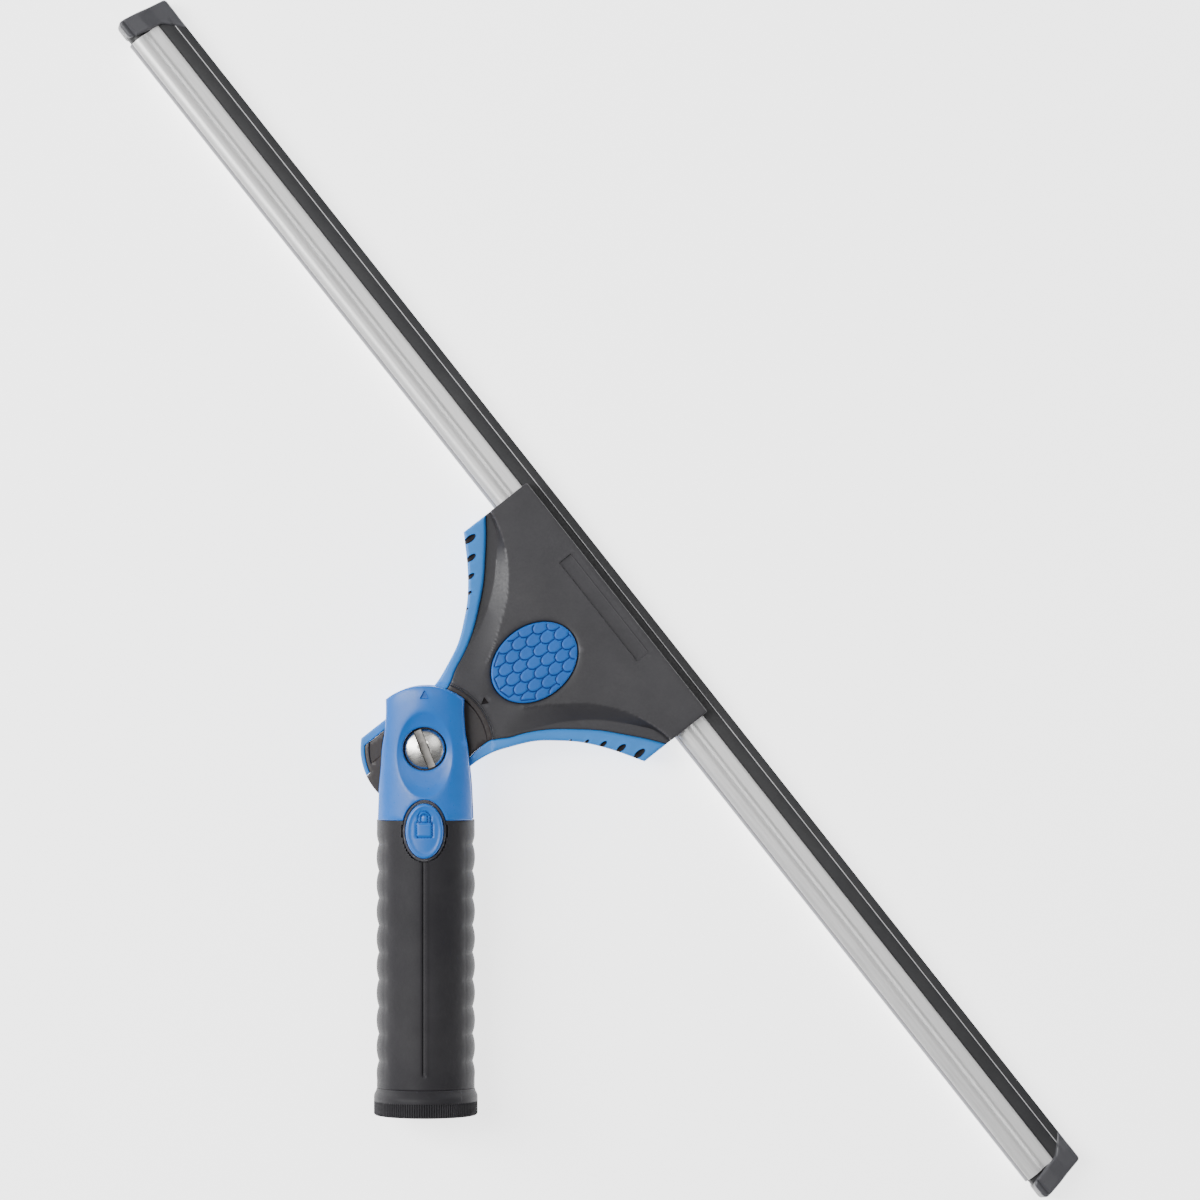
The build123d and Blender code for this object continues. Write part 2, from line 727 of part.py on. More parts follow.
def make_clip_screws():
    """Two small screws that hold the clip to the middle plate."""
    screws = []
    seat = -core_w - clip_thickness
    for x in (-clip_screw_x, clip_screw_x):
        one = screw_axis(x, clip_screw_h, seat, -screw_end_gap, clip_screw_r)
        one += screw_axis(x, clip_screw_h, seat - clip_screw_head_height, seat, clip_screw_head_r)
        screws.append(one)
    return screws


def blade_section(shape, length):
    """A cross-section of the blade run out along its length."""
    start = blade_shift - length / 2
    plane = Plane(origin=(start, bend_h, 0), x_dir=(0, cos(tilt), -sin(tilt)), z_dir=(1, 0, 0))
    return extrude(plane * shape, amount=length)


def make_channel():
    """Folded sheet: a tube for the rubber's bead, and two leaves that grip its web."""
    flange = flange_v - tube_v
    outer = Pos(tube_v, 0) * Circle(tube_r)
    outer += Pos(tube_v + flange / 2, 0) * Rectangle(flange, 2 * flange_half)
    inner = Pos(tube_v, 0) * Circle(tube_r - sheet)
    inner += Pos(tube_v + (flange + lap) / 2, 0) * Rectangle(flange + lap, 2 * (flange_half - sheet))
    return blade_section(outer - inner, channel_length)


def make_rubber_blade():
    """Rubber strip: bead, web and a thicker lip with the wiping edges."""
    bead = blade_section(Pos(tube_v, 0) * Circle(tube_r - sheet - seat_fit), channel_length)
    web = Pos((tube_v + step_v) / 2, 0) * Rectangle(step_v - tube_v + lap, 2 * rubber_web_half)
    lip = Pos((step_v + lip_v) / 2, 0) * Rectangle(lip_v - step_v, 2 * rubber_lip_half)
    return bead + blade_section(web + lip, rubber_length)


def make_end_cap(side):
    """Moulded cap over one end of the channel and the rubber."""
    low = along(cap_foot_h)
    tip = blade_shift + side * blade_length / 2
    inner = tip - side * cap_width
    points = (
        (inner, low + cap_foot_chamfer), (inner + side * cap_foot_chamfer, low),
        (tip + side * cap_splay, low), (tip, lip_v), (inner, lip_v),
    )
    plane = Plane(origin=(0, bend_h, 0), x_dir=(1, 0, 0), z_dir=(0, sin(tilt), cos(tilt)))
    face = plane.offset(-cap_half_tube) * make_face(Polyline(*points, close=True))
    body = extrude(face, amount=2 * cap_half_tube)
    high = tube_v + tube_r + cap_top_wall
    upper = [
        (low, cap_half_tube), (high, cap_half_tube),
        (flange_v + cap_shoulder, cap_half_lip + cap_shoulder_step), (lip_v, cap_half_lip),
    ]
    lower = [(v, -w) for v, w in reversed(upper)]
    start = (inner - side * lap, bend_h, 0)
    section = Plane(origin=start, x_dir=(0, cos(tilt), -sin(tilt)), z_dir=(1, 0, 0))
    side_shape = make_face(Polyline(*upper, *lower, close=True))
    body &= extrude(section * side_shape, amount=side * (cap_width + cap_splay + 2 * lap))
    web = Pos((tube_v + step_v) / 2, 0) * Rectangle(step_v - tube_v + lap, 2 * rubber_web_half)
    lip = Pos((step_v + lip_v + lap) / 2, 0) * Rectangle(lip_v - step_v + lap, 2 * rubber_lip_half)
    body -= blade_section(web + lip, rubber_length)
    tube_end = blade_section(Pos(tube_v, 0) * Circle(tube_r), channel_length)
    flange = Pos((tube_v + flange_v) / 2, 0) * Rectangle(flange_v - tube_v, 2 * flange_half)
    return body - tube_end - blade_section(flange, channel_length)


# ================= build and write =================

def build():
    """Every piece of the squeegee by name, in place."""
    blank = core_blank()
    head_core = make_head_core()
    rim = make_rim_side()
    pieces = {
        "handle_core": make_handle_core(),
        "grip_sleeve": make_grip_sleeve(blank),
        "end_collar": make_end_collar(blank),
        "fork_front_shell": make_fork_front_shell(blank),
        "fork_back_shell": make_fork_back_shell(blank),
        "shell_screws": make_shell_screws(),
        "button_bezel": make_button_bezel(),
        "pivot_screw": make_pivot_screw(),
        "screw_washer": washer(screw_head_r, pivot_shank_r, arm_outer, arm_outer + washer_thickness),
        "pivot_bush": washer(bush_r, pivot_shank_r, -slot_half, slot_half),
        "friction_washer_front": washer(friction_outer_r, bush_r, hub_half + face_gap, slot_half),
        "friction_washer_back": washer(friction_outer_r, bush_r, -slot_half, -hub_half - face_gap),
        "spring_washer": washer(screw_head_r, pivot_shank_r, -arm_outer - washer_thickness, -arm_outer),
        "pivot_nut": make_pivot_nut(),
        "lock_button": make_lock_button(),
        "lock_plate": make_lock_plate(),
        "lock_pin": make_lock_pin(),
        "button_spring": make_button_spring(),
    }
    head_pieces = {
        "head_core": head_core,
        "head_front_cover": make_head_front(head_core),
        "head_back_cover": make_head_back(head_core),
        "head_rim_right": rim,
        "head_rim_left": mirrored(rim),
        "thumb_pad": make_thumb_pad(),
        "lock_disc": make_detent_disc(),
        "head_screws": make_head_screws(),
        "channel_clip": make_channel_clip(),
        "clip_screws": make_clip_screws(),
        "channel": make_channel(),
        "rubber_blade": make_rubber_blade(),
        "end_cap_left": make_end_cap(-1),
        "end_cap_right": make_end_cap(1),
    }
    for name, piece in head_pieces.items():
        if isinstance(piece, list):
            pieces[name] = [head_place * one for one in piece]
        else:
            pieces[name] = head_place * piece
    return pieces


def write(pieces):
    """One STEP file for each piece, named after it."""
    os.makedirs("parts", exist_ok=True)
    for name, piece in pieces.items():
        solids = []
        for one in piece if isinstance(piece, list) else [piece]:
            solids += one.solids()
        shape = solids[0] if len(solids) == 1 else Compound(children=solids)
        shape.label = name
        export_step(shape, f"parts/{name}.step")


write(build())
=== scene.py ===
import json
import math

import bpy
import numpy as np
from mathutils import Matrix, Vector
from mathutils.geometry import delaunay_2d_cdt


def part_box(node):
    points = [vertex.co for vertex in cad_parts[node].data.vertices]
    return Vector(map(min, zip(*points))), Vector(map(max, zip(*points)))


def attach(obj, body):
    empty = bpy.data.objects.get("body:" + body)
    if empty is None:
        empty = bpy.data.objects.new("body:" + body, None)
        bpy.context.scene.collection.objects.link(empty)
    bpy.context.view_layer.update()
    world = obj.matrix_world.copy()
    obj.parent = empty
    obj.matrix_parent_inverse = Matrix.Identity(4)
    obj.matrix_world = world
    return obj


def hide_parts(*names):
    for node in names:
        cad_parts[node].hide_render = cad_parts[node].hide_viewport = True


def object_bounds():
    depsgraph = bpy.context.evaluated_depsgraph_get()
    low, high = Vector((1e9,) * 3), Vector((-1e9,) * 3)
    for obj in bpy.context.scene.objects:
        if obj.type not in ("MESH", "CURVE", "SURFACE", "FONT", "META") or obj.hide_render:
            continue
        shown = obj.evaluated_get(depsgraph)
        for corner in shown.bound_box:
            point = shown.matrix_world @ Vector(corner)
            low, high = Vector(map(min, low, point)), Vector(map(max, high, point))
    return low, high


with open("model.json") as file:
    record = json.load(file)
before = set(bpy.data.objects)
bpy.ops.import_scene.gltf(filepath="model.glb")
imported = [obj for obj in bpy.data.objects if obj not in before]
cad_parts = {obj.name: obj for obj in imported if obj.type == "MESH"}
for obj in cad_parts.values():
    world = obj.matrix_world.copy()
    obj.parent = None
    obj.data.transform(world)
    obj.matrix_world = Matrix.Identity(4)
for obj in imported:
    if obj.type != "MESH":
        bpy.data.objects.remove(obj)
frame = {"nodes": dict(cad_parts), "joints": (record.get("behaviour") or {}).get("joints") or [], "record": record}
cad_low, cad_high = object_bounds()

MM = 0.001
record = frame["record"]
swivel = next(j for j in frame["joints"] if j["name"] == "head_swivel")
PIVOT = np.array(swivel["pos_m"]) / MM
TURN = -math.radians(sum(swivel["range_deg"]) / 2)     # head's rest angle about the pivot
TILT = math.radians(11.0)                              # the blade plane leans back
BEND = 21.0                                            # up from the pivot to the bend


def span(node):
    """Lowest and highest y of a CAD node, from the pivot, mm."""
    low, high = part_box(node)
    return low[1] / MM - PIVOT[1], high[1] / MM - PIVOT[1]


# ======================= materials =======================

class Nodes:
    """Short hand for building a node tree."""

    def __init__(self, name):
        self.material = bpy.data.materials.new(name)
        self.material.use_nodes = True
        self.tree = self.material.node_tree
        self.shader = self.tree.nodes["Principled BSDF"]
        self.object = self.add("ShaderNodeTexCoord").outputs["Object"]

    def add(self, kind, **values):
        node = self.tree.nodes.new(kind)
        for key, value in values.items():
            setattr(node, key, value)
        return node

    def link(self, source, target):
        self.tree.links.new(source, target)

    def mapped(self, scale, turn=0.0):
        node = self.add("ShaderNodeMapping", vector_type="TEXTURE")
        node.inputs["Scale"].default_value = scale
        node.inputs["Rotation"].default_value = (0, 0, turn)
        self.link(self.object, node.inputs["Vector"])
        return node.outputs["Vector"]

    def noise(self, vector, scale, detail=3.0, rough=0.5):
        node = self.add("ShaderNodeTexNoise")
        node.inputs["Scale"].default_value = scale
        node.inputs["Detail"].default_value = detail
        node.inputs["Roughness"].default_value = rough
        self.link(vector, node.inputs["Vector"])
        return node.outputs["Fac"]

    def ramp(self, factor, stops):
        node = self.add("ShaderNodeValToRGB")
        ramp = node.color_ramp
        ramp.elements[0].position, ramp.elements[1].position = stops[0][0], stops[-1][0]
        for position, _ in stops[1:-1]:
            ramp.elements.new(position)
        for element, (_, color) in zip(ramp.elements, stops):
            element.color = (*color, 1)
        self.link(factor, node.inputs["Fac"])
        return node.outputs["Color"]

    def scaled(self, factor, low, high, start=0.3, end=0.7):
        node = self.add("ShaderNodeMapRange")
        node.inputs["From Min"].default_value = start
        node.inputs["From Max"].default_value = end
        node.inputs["To Min"].default_value = low
        node.inputs["To Max"].default_value = high
        self.link(factor, node.inputs["Value"])
        return node.outputs["Result"]

    def mix(self, factor, first, second, blend="MIX"):
        node = self.add("ShaderNodeMix", data_type="RGBA", blend_type=blend)
        self.link(factor, node.inputs["Factor"])
        for source, socket in ((first, node.inputs["A"]), (second, node.inputs["B"])):
            if isinstance(source, tuple):
                socket.default_value = (*source, 1)
            else:
                self.link(source, socket)
        return node.outputs["Result"]

    def edge_wear_and_highlight(self, low=0.52, high=0.60):
        """How far a point is on an outward edge, 0 to 1."""
        return self.scaled(self.add("ShaderNodeNewGeometry").outputs["Pointiness"], 0, 1, low, high)

    def crease(self, low=0.40, high=0.48):
        """How far a point is in an inward corner, 0 to 1."""
        return self.scaled(self.add("ShaderNodeNewGeometry").outputs["Pointiness"], 1, 0, low, high)

    def bump(self, heights):
        """Bumps stacked from (height, strength, distance) triples."""
        last = None
        for height, strength, distance in heights:
            node = self.add("ShaderNodeBump")
            node.inputs["Strength"].default_value = strength
            node.inputs["Distance"].default_value = distance
            self.link(height, node.inputs["Height"])
            if last is not None:
                self.link(last, node.inputs["Normal"])
            last = node.outputs["Normal"]
        self.link(last, self.shader.inputs["Normal"])


def linear(text):
    """A hex colour as linear values."""
    channels = [int(text[i:i + 2], 16) / 255 for i in (0, 2, 4)]
    return tuple(c / 12.92 if c <= 0.04045 else ((c + 0.055) / 1.055) ** 2.4 for c in channels)


def shade(color, factor):
    """A colour made lighter or darker."""
    return tuple(min(1.0, c * factor) for c in color)


def moulded(name, hexa, rough, grain, bump, edge=1.5, spec=0.5, mottle=0.12, dust=0.0):
    """Moulded plastic or rubber: mottled colour, fine grain, outward edges lighter from edge wear and a painted
    highlight, inward corners with painted shade.
    """
    n = Nodes(name)
    color = linear(hexa)
    broad = n.noise(n.object, 90, 4)
    fine = n.noise(n.object, grain, 3, 0.6)
    pits = n.noise(n.object, grain * 3.1, 2, 0.7)
    base = n.ramp(broad, [(0.3, shade(color, 1 - mottle)), (0.7, shade(color, 1 + mottle))])
    speck = n.scaled(pits, 0, 0.35, 0.55, 0.75)
    base = n.mix(speck, base, shade(color, 1.35))
    # Inward corners are coloured darker: painted shade.
    base = n.mix(n.crease(), base, shade(color, 0.62))
    # Outward edges are coloured lighter: edge wear and a painted highlight.
    wear_and_highlight_colour = n.mix(n.edge_wear_and_highlight(), base, shade(color, edge))
    if dust:
        film = n.scaled(n.noise(n.object, 35, 5, 0.65), 0, dust, 0.45, 0.8)
        wear_and_highlight_colour = n.mix(film, wear_and_highlight_colour, linear("9a9894"))
    n.link(wear_and_highlight_colour, n.shader.inputs["Base Color"])
    n.link(n.scaled(fine, rough - 0.07, rough + 0.09), n.shader.inputs["Roughness"])
    n.shader.inputs["Specular IOR Level"].default_value = spec
    n.bump([(fine, bump, 0.00012), (pits, bump * 0.7, 0.00005)])
    return n.material


def brushed(name, hexa, rough, turn, stretch, metallic=1.0, marks=0.25):
    """Metal with fine lines along one direction, faint handling marks, and painted shade in inward corners."""
    n = Nodes(name)
    color = linear(hexa)
    lines = n.noise(n.mapped((1, 1 / stretch, 1 / stretch), turn), 60, 4, 0.7)
    smudge = n.noise(n.object, 42, 5, 0.6)
    base = n.ramp(lines, [(0.32, shade(color, 0.90)), (0.5, color), (0.7, shade(color, 1.04))])
    base = n.mix(n.scaled(smudge, 0, marks, 0.5, 0.8), base, shade(color, 0.72))
    # Inward corners are coloured darker: painted shade.
    base = n.mix(n.crease(), base, shade(color, 0.45))
    n.link(base, n.shader.inputs["Base Color"])
    n.shader.inputs["Metallic"].default_value = metallic
    n.link(n.scaled(lines, rough - 0.05, rough + 0.07), n.shader.inputs["Roughness"])
    n.bump([(lines, 0.05, 0.00003), (smudge, 0.02, 0.0001)])
    return n.material


MATERIALS = {
    "black_nylon": moulded("black_nylon", "3a393c", 0.45, 1500, 0.14, 1.9, 0.5, 0.10, dust=0.04),
    "hub_nylon": moulded("hub_nylon", "302a29", 0.42, 1500, 0.12, 1.8, 0.5, 0.10, dust=0.03),
    "grip_rubber": moulded("grip_rubber", "302f32", 0.48, 1900, 0.18, 1.5, 0.16, 0.10, dust=0.04),
    "blue_plastic": moulded("blue_plastic", "1f70cc", 0.34, 1400, 0.05, 1.25, 0.5, 0.05),
    "blue_soft": moulded("blue_soft", "3389dd", 0.44, 1700, 0.09, 1.25, 0.45, 0.06),
    "pad_blue": moulded("pad_blue", "1c66bd", 0.50, 1700, 0.12, 1.3, 0.45, 0.07),
    # Dark blue for the pad's grooves and the button's mark lines: painted shade in the grooves.
    "painted_groove_shade": moulded("painted_groove_shade", "0d3f88", 0.55, 1700, 0.10, 1.1, 0.4, 0.06),
    # Near-black for the rims' slots and the cover's sunk mark: painted shade in those recesses.
    "painted_recess_shade": moulded("painted_recess_shade", "1d171b", 0.60, 1500, 0.12, 1.3, 0.3, 0.12),
    "cap_plastic": moulded("cap_plastic", "4a4a4e", 0.42, 1500, 0.12, 1.8, 0.5, 0.10, dust=0.04),
    "blade_rubber": moulded("blade_rubber", "2c2c2e", 0.44, 1300, 0.10, 1.9, 0.5, 0.12, dust=0.05),
    "channel_steel": brushed("channel_steel", "f6f5f4", 0.38, TURN, 30, 0.45, 0.08),
    "screw_steel": brushed("screw_steel", "e6e3de", 0.26, 0.38, 20, marks=0.0),
    # Darker steel for the screw's slot: painted shade.
    "painted_slot_shade_steel": brushed("painted_slot_shade_steel", "8f8c88", 0.34, 0.38, 8, marks=0.1),
    # Pale grey for the rubber step's edge line: a painted highlight.
    "painted_step_highlight": moulded("painted_step_highlight", "c4c4c6", 0.40, 1300, 0.08, 1.2, 0.5, 0.08),
    # Darker steel for the tube's back: a painted dark reflection.
    "painted_reflection_steel": brushed("painted_reflection_steel", "77777a", 0.30, TURN, 30, 0.8, 0.10),
    "fastener_steel": brushed("fastener_steel", "b4b5b6", 0.30, 0.0, 10),
    "dark_steel": brushed("dark_steel", "3a3938", 0.36, 0.0, 10),
    "bush_bronze": brushed("bush_bronze", "a4733f", 0.34, 0.0, 8),
    "washer_acetal": moulded("washer_acetal", "e4e0d6", 0.40, 1500, 0.10, 1.05, 0.5, 0.04),
}

# ======================= meshes =======================


def head_place(points):
    """Points of the aligned head, mm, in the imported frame."""
    c, s = math.cos(TURN), math.sin(TURN)
    out = np.array(points, float)
    x, y = out[:, 0].copy(), out[:, 1].copy()
    out[:, 0] = PIVOT[0] + c * x - s * y
    out[:, 1] = PIVOT[1] + s * x + c * y
    return out


def handle_place(points):
    """Points about the pivot, mm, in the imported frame."""
    return np.array(points, float) + np.array([PIVOT[0], PIVOT[1], 0])


def piece(name, points, faces, body, material, stands_for, angle, index=(), extra=()):
    """One visible piece from points in mm about the pivot; index gives its first faces' materials."""
    placed = head_place(points) if body == "head" else handle_place(points)
    corners = [tuple(int(i) for i in face) for face in faces]
    mesh = bpy.data.meshes.new(name)
    mesh.from_pydata([tuple(p) for p in placed * MM], [], corners)
    mesh.validate()
    for one in (material, *extra):
        mesh.materials.append(MATERIALS[one])
    for polygon, number in zip(mesh.polygons, index):
        polygon.material_index = int(number)
    for polygon in mesh.polygons:
        polygon.use_smooth = True
    mesh.set_sharp_from_angle(angle=math.radians(angle))
    obj = bpy.data.objects.new(name, mesh)
    bpy.context.collection.objects.link(obj)
    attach(obj, body)
    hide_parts(*stands_for)


def resample(points, step, closed=True):
    """The polyline with even steps, its corners kept."""
    points = [np.array(p, float) for p in points]
    pairs = list(zip(points, points[1:] + points[:1])) if closed else list(zip(points, points[1:]))
    out = []
    for a, b in pairs:
        count = max(1, int(round(np.linalg.norm(b - a) / step)))
        out += [a + (b - a) * i / count for i in range(count)]
    if not closed:
        out.append(points[-1])
    return np.array(out)


def spline(points, count=14):
    """Catmull-Rom curve through the points."""
    p = [np.array(q, float) for q in points]
    p = [2 * p[0] - p[1]] + p + [2 * p[-1] - p[-2]]
    out = []
    for i in range(1, len(p) - 2):
        for k in range(count):
            t = k / count
            a, b, c, d = p[i - 1], p[i], p[i + 1], p[i + 2]
            out.append(0.5 * (2 * b + (c - a) * t + (2 * a - 5 * b + 4 * c - d) * t * t
                              + (3 * b - a - 3 * c + d) * t ** 3))
    out.append(p[-2])
    return out


def arc(cx, cy, rx, ry, start, end, count):
    """Points of an ellipse's arc, degrees."""
    angles = np.radians(np.linspace(start, end, count))
    return [(cx + rx * math.cos(a), cy + ry * math.sin(a)) for a in angles]


def oval(cx, cy, rx, ry, count=96):
    """Points all round an ellipse."""
    return arc(cx, cy, rx, ry, 0, 360 - 360 / count, count)


def rounded(points, radius, count=5):
    """A closed polygon with its corners rounded."""
    out = []
    total = len(points)
    for i in range(total):
        a, b, c = (np.array(points[(i + k) % total], float) for k in (-1, 0, 1))
        r = radius[i] if isinstance(radius, (list, tuple)) else radius
        before, after = np.linalg.norm(a - b), np.linalg.norm(c - b)
        u, v = (a - b) / before, (c - b) / after
        r = min(r, 0.45 * before, 0.45 * after)
        if r < 0.02:
            out.append(b)
            continue
        for k in range(count + 1):
            t = k / count
            out.append((1 - t) ** 2 * (b + u * r) + 2 * t * (1 - t) * b + t * t * (b + v * r))
    return out


def distance(points, line, closed=True):
    """Distance from each point to a polyline."""
    line = np.asarray(line, float)
    a = line
    b = np.roll(line, -1, 0)
    if not closed:
        a, b = a[:-1], b[:-1]
    best = np.full(len(points), 1e9)
    d = b - a
    length = (d * d).sum(1) + 1e-12
    for start in range(0, len(points), 2000):
        p = points[start:start + 2000, None, :]
        t = np.clip(((p - a) * d).sum(2) / length, 0, 1)
        gap = p - (a + t[..., None] * d)
        best[start:start + 2000] = np.sqrt((gap ** 2).sum(2)).min(1)
    return best


def inside(points, polygon):
    """Which points are inside a closed polygon."""
    polygon = np.asarray(polygon, float)
    a, b = polygon, np.roll(polygon, -1, 0)
    x, y = points[:, 0, None], points[:, 1, None]
    cross = (a[:, 1] > y) != (b[:, 1] > y)
    with np.errstate(divide="ignore", invalid="ignore"):
        at = a[:, 0] + (y - a[:, 1]) * (b[:, 0] - a[:, 0]) / (b[:, 1] - a[:, 1])
    return (cross & (x < at)).sum(1) % 2 == 1


def signed(points, polygon):
    """Distance to a closed polygon, negative inside it."""
    gap = distance(points, polygon)
    return np.where(inside(points, polygon), -gap, gap)


def offset_ring(line, gap):
    """A closed line moved to its left by gap, and which of its points are clear of folds."""
    line = np.asarray(line, float)
    ahead = np.roll(line, -1, 0) - line
    behind = line - np.roll(line, 1, 0)
    ahead /= np.linalg.norm(ahead, axis=1)[:, None] + 1e-12
    behind /= np.linalg.norm(behind, axis=1)[:, None] + 1e-12
    middle = ahead + behind
    middle /= np.linalg.norm(middle, axis=1)[:, None] + 1e-9
    cos_half = np.clip((middle * ahead).sum(1), 0.4, 1)
    normal = np.stack([-middle[:, 1], middle[:, 0]], 1) / cos_half[:, None]
    moved = line + normal * gap
    keep = distance(moved, line) > 0.93 * abs(gap)
    return moved, keep


class Relief:
    """A flat region cut into triangles, lifted to a front and a back height and closed round its edge."""

    def __init__(self, outer, holes=(), step=1.2):
        self.outer = np.array(outer, float)
        self.holes = [np.array(h, float) for h in holes]
        self.points, self.edges = [], []
        self.cuts = []
        self.step = step
        for loop in [self.outer, *self.holes]:
            self.line(loop)

    def line(self, loop, keep=None, closed=True):
        """A line that the triangles' edges follow."""
        start = len(self.points)
        total = len(loop)
        self.points += [tuple(p) for p in loop]
        for i in range(total if closed else total - 1):
            j = (i + 1) % total
            if keep is None or (keep[i] and keep[j]):
                self.edges.append((start + i, start + j))

    def circle(self, radius, count=110):
        """A line round the pivot, where it is inside the region's outline."""
        ring = np.array(oval(0, 0, radius, radius, count))
        self.line(ring, inside(ring, self.outer))

    def rings(self, loop, gaps):
        """Lines beside a closed line, so that a height profile across it is followed."""
        loop = np.asarray(loop, float)
        area = (loop[:, 0] * np.roll(loop[:, 1], -1) - np.roll(loop[:, 0], -1) * loop[:, 1]).sum()
        turn = 1 if area > 0 else -1
        for gap in gaps:
            if gap == 0:
                self.line(loop)
                continue
            moved, keep = offset_ring(loop, -turn * gap)
            kept = moved[keep]
            if keep.all():
                self.line(moved)
            else:
                ids = np.cumsum(keep) - 1
                start = len(self.points)
                self.points += [tuple(p) for p in kept]
                for i in range(len(moved)):
                    j = (i + 1) % len(moved)
                    if keep[i] and keep[j]:
                        self.edges.append((start + int(ids[i]), start + int(ids[j])))

    def edge(self, radius, count=4):
        """Lines for an edge rounded to a radius, all round."""
        gaps = [radius * (1 - math.cos(math.pi / 2 * k / count)) for k in range(1, count + 1)]
        for loop, side in [(self.outer, -1)] + [(h, 1) for h in self.holes]:
            self.rings(loop, [side * g for g in gaps])

    def feature(self, loop, profile):
        """A height change beside a closed line: (signed distance, height) pairs, negative inside."""
        self.cuts.append((np.asarray(loop, float), profile))
        self.rings(loop, [g for g, _ in profile])

    def solve(self):
        """Cuts the region into triangles, over its lines and an even grid of points."""
        low, high = self.outer.min(0), self.outer.max(0)
        grid = []
        rows = int((high[1] - low[1]) / (self.step * 0.866)) + 1
        for r in range(rows):
            y = low[1] + r * self.step * 0.866
            xs = np.arange(low[0] + (r % 2) * self.step / 2, high[0], self.step)
            grid += [(x, y) for x in xs]
        grid = np.array(grid)
        fixed = np.array(self.points)
        grid = grid[inside(grid, self.outer)]
        near = np.full(len(grid), 1e9)
        for start in range(0, len(grid), 800):
            gap = grid[start:start + 800, None, :] - fixed[None]
            near[start:start + 800] = np.sqrt((gap ** 2).sum(2)).min(1)
        grid = grid[near > 0.55 * self.step]
        every = [Vector(p) for p in self.points] + [Vector(p) for p in grid]
        verts, _, faces, _, _, _ = delaunay_2d_cdt(every, self.edges, [], 0, 1e-5)
        flat = np.array([tuple(v) for v in verts])
        faces = np.array([f for f in faces if len(f) == 3])
        middles = flat[faces].mean(1)
        keep = inside(middles, self.outer)
        for hole in self.holes:
            keep &= ~inside(middles, hole)
        faces = faces[keep]
        a, b, c = flat[faces[:, 0]], flat[faces[:, 1]], flat[faces[:, 2]]
        area = (b[:, 0] - a[:, 0]) * (c[:, 1] - a[:, 1]) - (b[:, 1] - a[:, 1]) * (c[:, 0] - a[:, 0])
        faces = faces[np.abs(area) > 1e-9]
        area = area[np.abs(area) > 1e-9]
        faces[area < 0] = faces[area < 0][:, ::-1]
        used = np.unique(faces)
        index = np.full(len(flat), -1)
        index[used] = np.arange(len(used))
        self.flat = flat[used]
        self.faces = index[faces]

    def border(self):
        """Distance from each point to the region's own edge."""
        gap = distance(self.flat, self.outer)
        for hole in self.holes:
            gap = np.minimum(gap, distance(self.flat, hole))
        return gap

    def carved(self):
        """Sum of the features' heights."""
        total = np.zeros(len(self.flat))
        for loop, profile in self.cuts:
            gaps = [g for g, _ in profile]
            heights = [h for _, h in profile]
            total += np.interp(signed(self.flat, loop), gaps, heights)
        return total

    def solid(self, top, bottom):
        """Points and faces of the closed solid between the two height fields."""
        count = len(self.flat)
        points = np.concatenate([
            np.column_stack([self.flat, top]), np.column_stack([self.flat, bottom])])
        faces = [tuple(f) for f in self.faces]
        faces += [(f[2] + count, f[1] + count, f[0] + count) for f in self.faces]
        directed = {(f[i], f[(i + 1) % 3]): None for f in self.faces for i in range(3)}
        for a, b in directed:
            if (b, a) not in directed:
                faces.append((b, a, a + count, b + count))
        return points, faces


def drop(gap, radius):
    """How far an edge rounded to a radius is below the face, at a distance from the edge."""
    inner = np.clip(radius - gap, 0, radius)
    return radius - np.sqrt(radius ** 2 - inner ** 2)


def front_plane(h, w):
    """Height of the head's front offset surface above the middle plane of the hub."""
    flat = np.full(np.shape(h), float(w))
    lean = w / math.cos(TILT) - (h - BEND) * math.tan(TILT)
    return soft_min(flat, lean)


def back_plane(h, w):
    """Height of the head's back offset surface."""
    flat = np.full(np.shape(h), float(-w))
    lean = -w / math.cos(TILT) - (h - BEND) * math.tan(TILT)
    return soft_min(flat, lean)


def soft_min(a, b, blend=0.6):
    """The lower of two surfaces, their corner rounded."""
    gap = np.clip(0.5 + 0.5 * (b - a) / blend, 0, 1)
    return b * (1 - gap) + a * gap - blend * gap * (1 - gap)


# ======================= head =======================

NECK = [(14.7, -4.0), (13.6, 3.0), (12.9, 8.5), (13.7, 14.9), (15.8, 20.7), (19.0, 27.5),
        (23.1, 33.0), (28.5, 38.9), (35.9, 44.7), (45.1, 50.4)]
RIM = [(12.2, -4.0), (10.6, 8.5), (10.2, 15.0), (10.9, 18.5), (13.3, 22.5), (15.8, 28.0), (19.7, 34.4),
       (25.0, 41.0), (29.5, 46.0), (34.5, 50.5), (40.0, 55.2), (45.1, 59.0)]
PLATEAU = [(9.0, 31.6), (11.0, 35.0), (13.0, 38.0), (16.4, 42.7), (20.7, 48.1), (25.3, 52.3),
           (31.0, 56.2), (36.9, 58.9), (41.8, 60.4), (44.4, 60.9)]
LEDGE = [(11.9, 20.8), (13.3, 24.5), (15.6, 29.3), (17.9, 34.3), (20.2, 38.7), (24.1, 44.6),
         (27.95, 49.1), (31.8, 52.7), (35.7, 56.0), (39.5, 58.8), (45.2, 60.8)]
YOKE_TOP = 75.2
YOKE_HALF = 45.1
RECESS = 20.8
HUB_R = 20.0
RIM_WRAP = 1.4           # the soft rim's width at the hub's round end
TONGUE = 4.7             # half width of the black tongue between the rims' ends
LIP_RISES = (0, 0.3, 0.5, 0.7, 0.9, 1.15)            # lines of the lip round the recess
PAD = (0.0, 42.7, 11.1, 14.5)                        # centre and half sizes
FRONT_W, BACK_W, CORE_W, RIM_W = 6.0, 5.4, 2.0, 5.3  # faces from the blade's middle plane
COVER_SCREWS = [(side * x, h) for x, h in ((30.0, 58.5), (8.0, 28.5)) for side in (1, -1)]


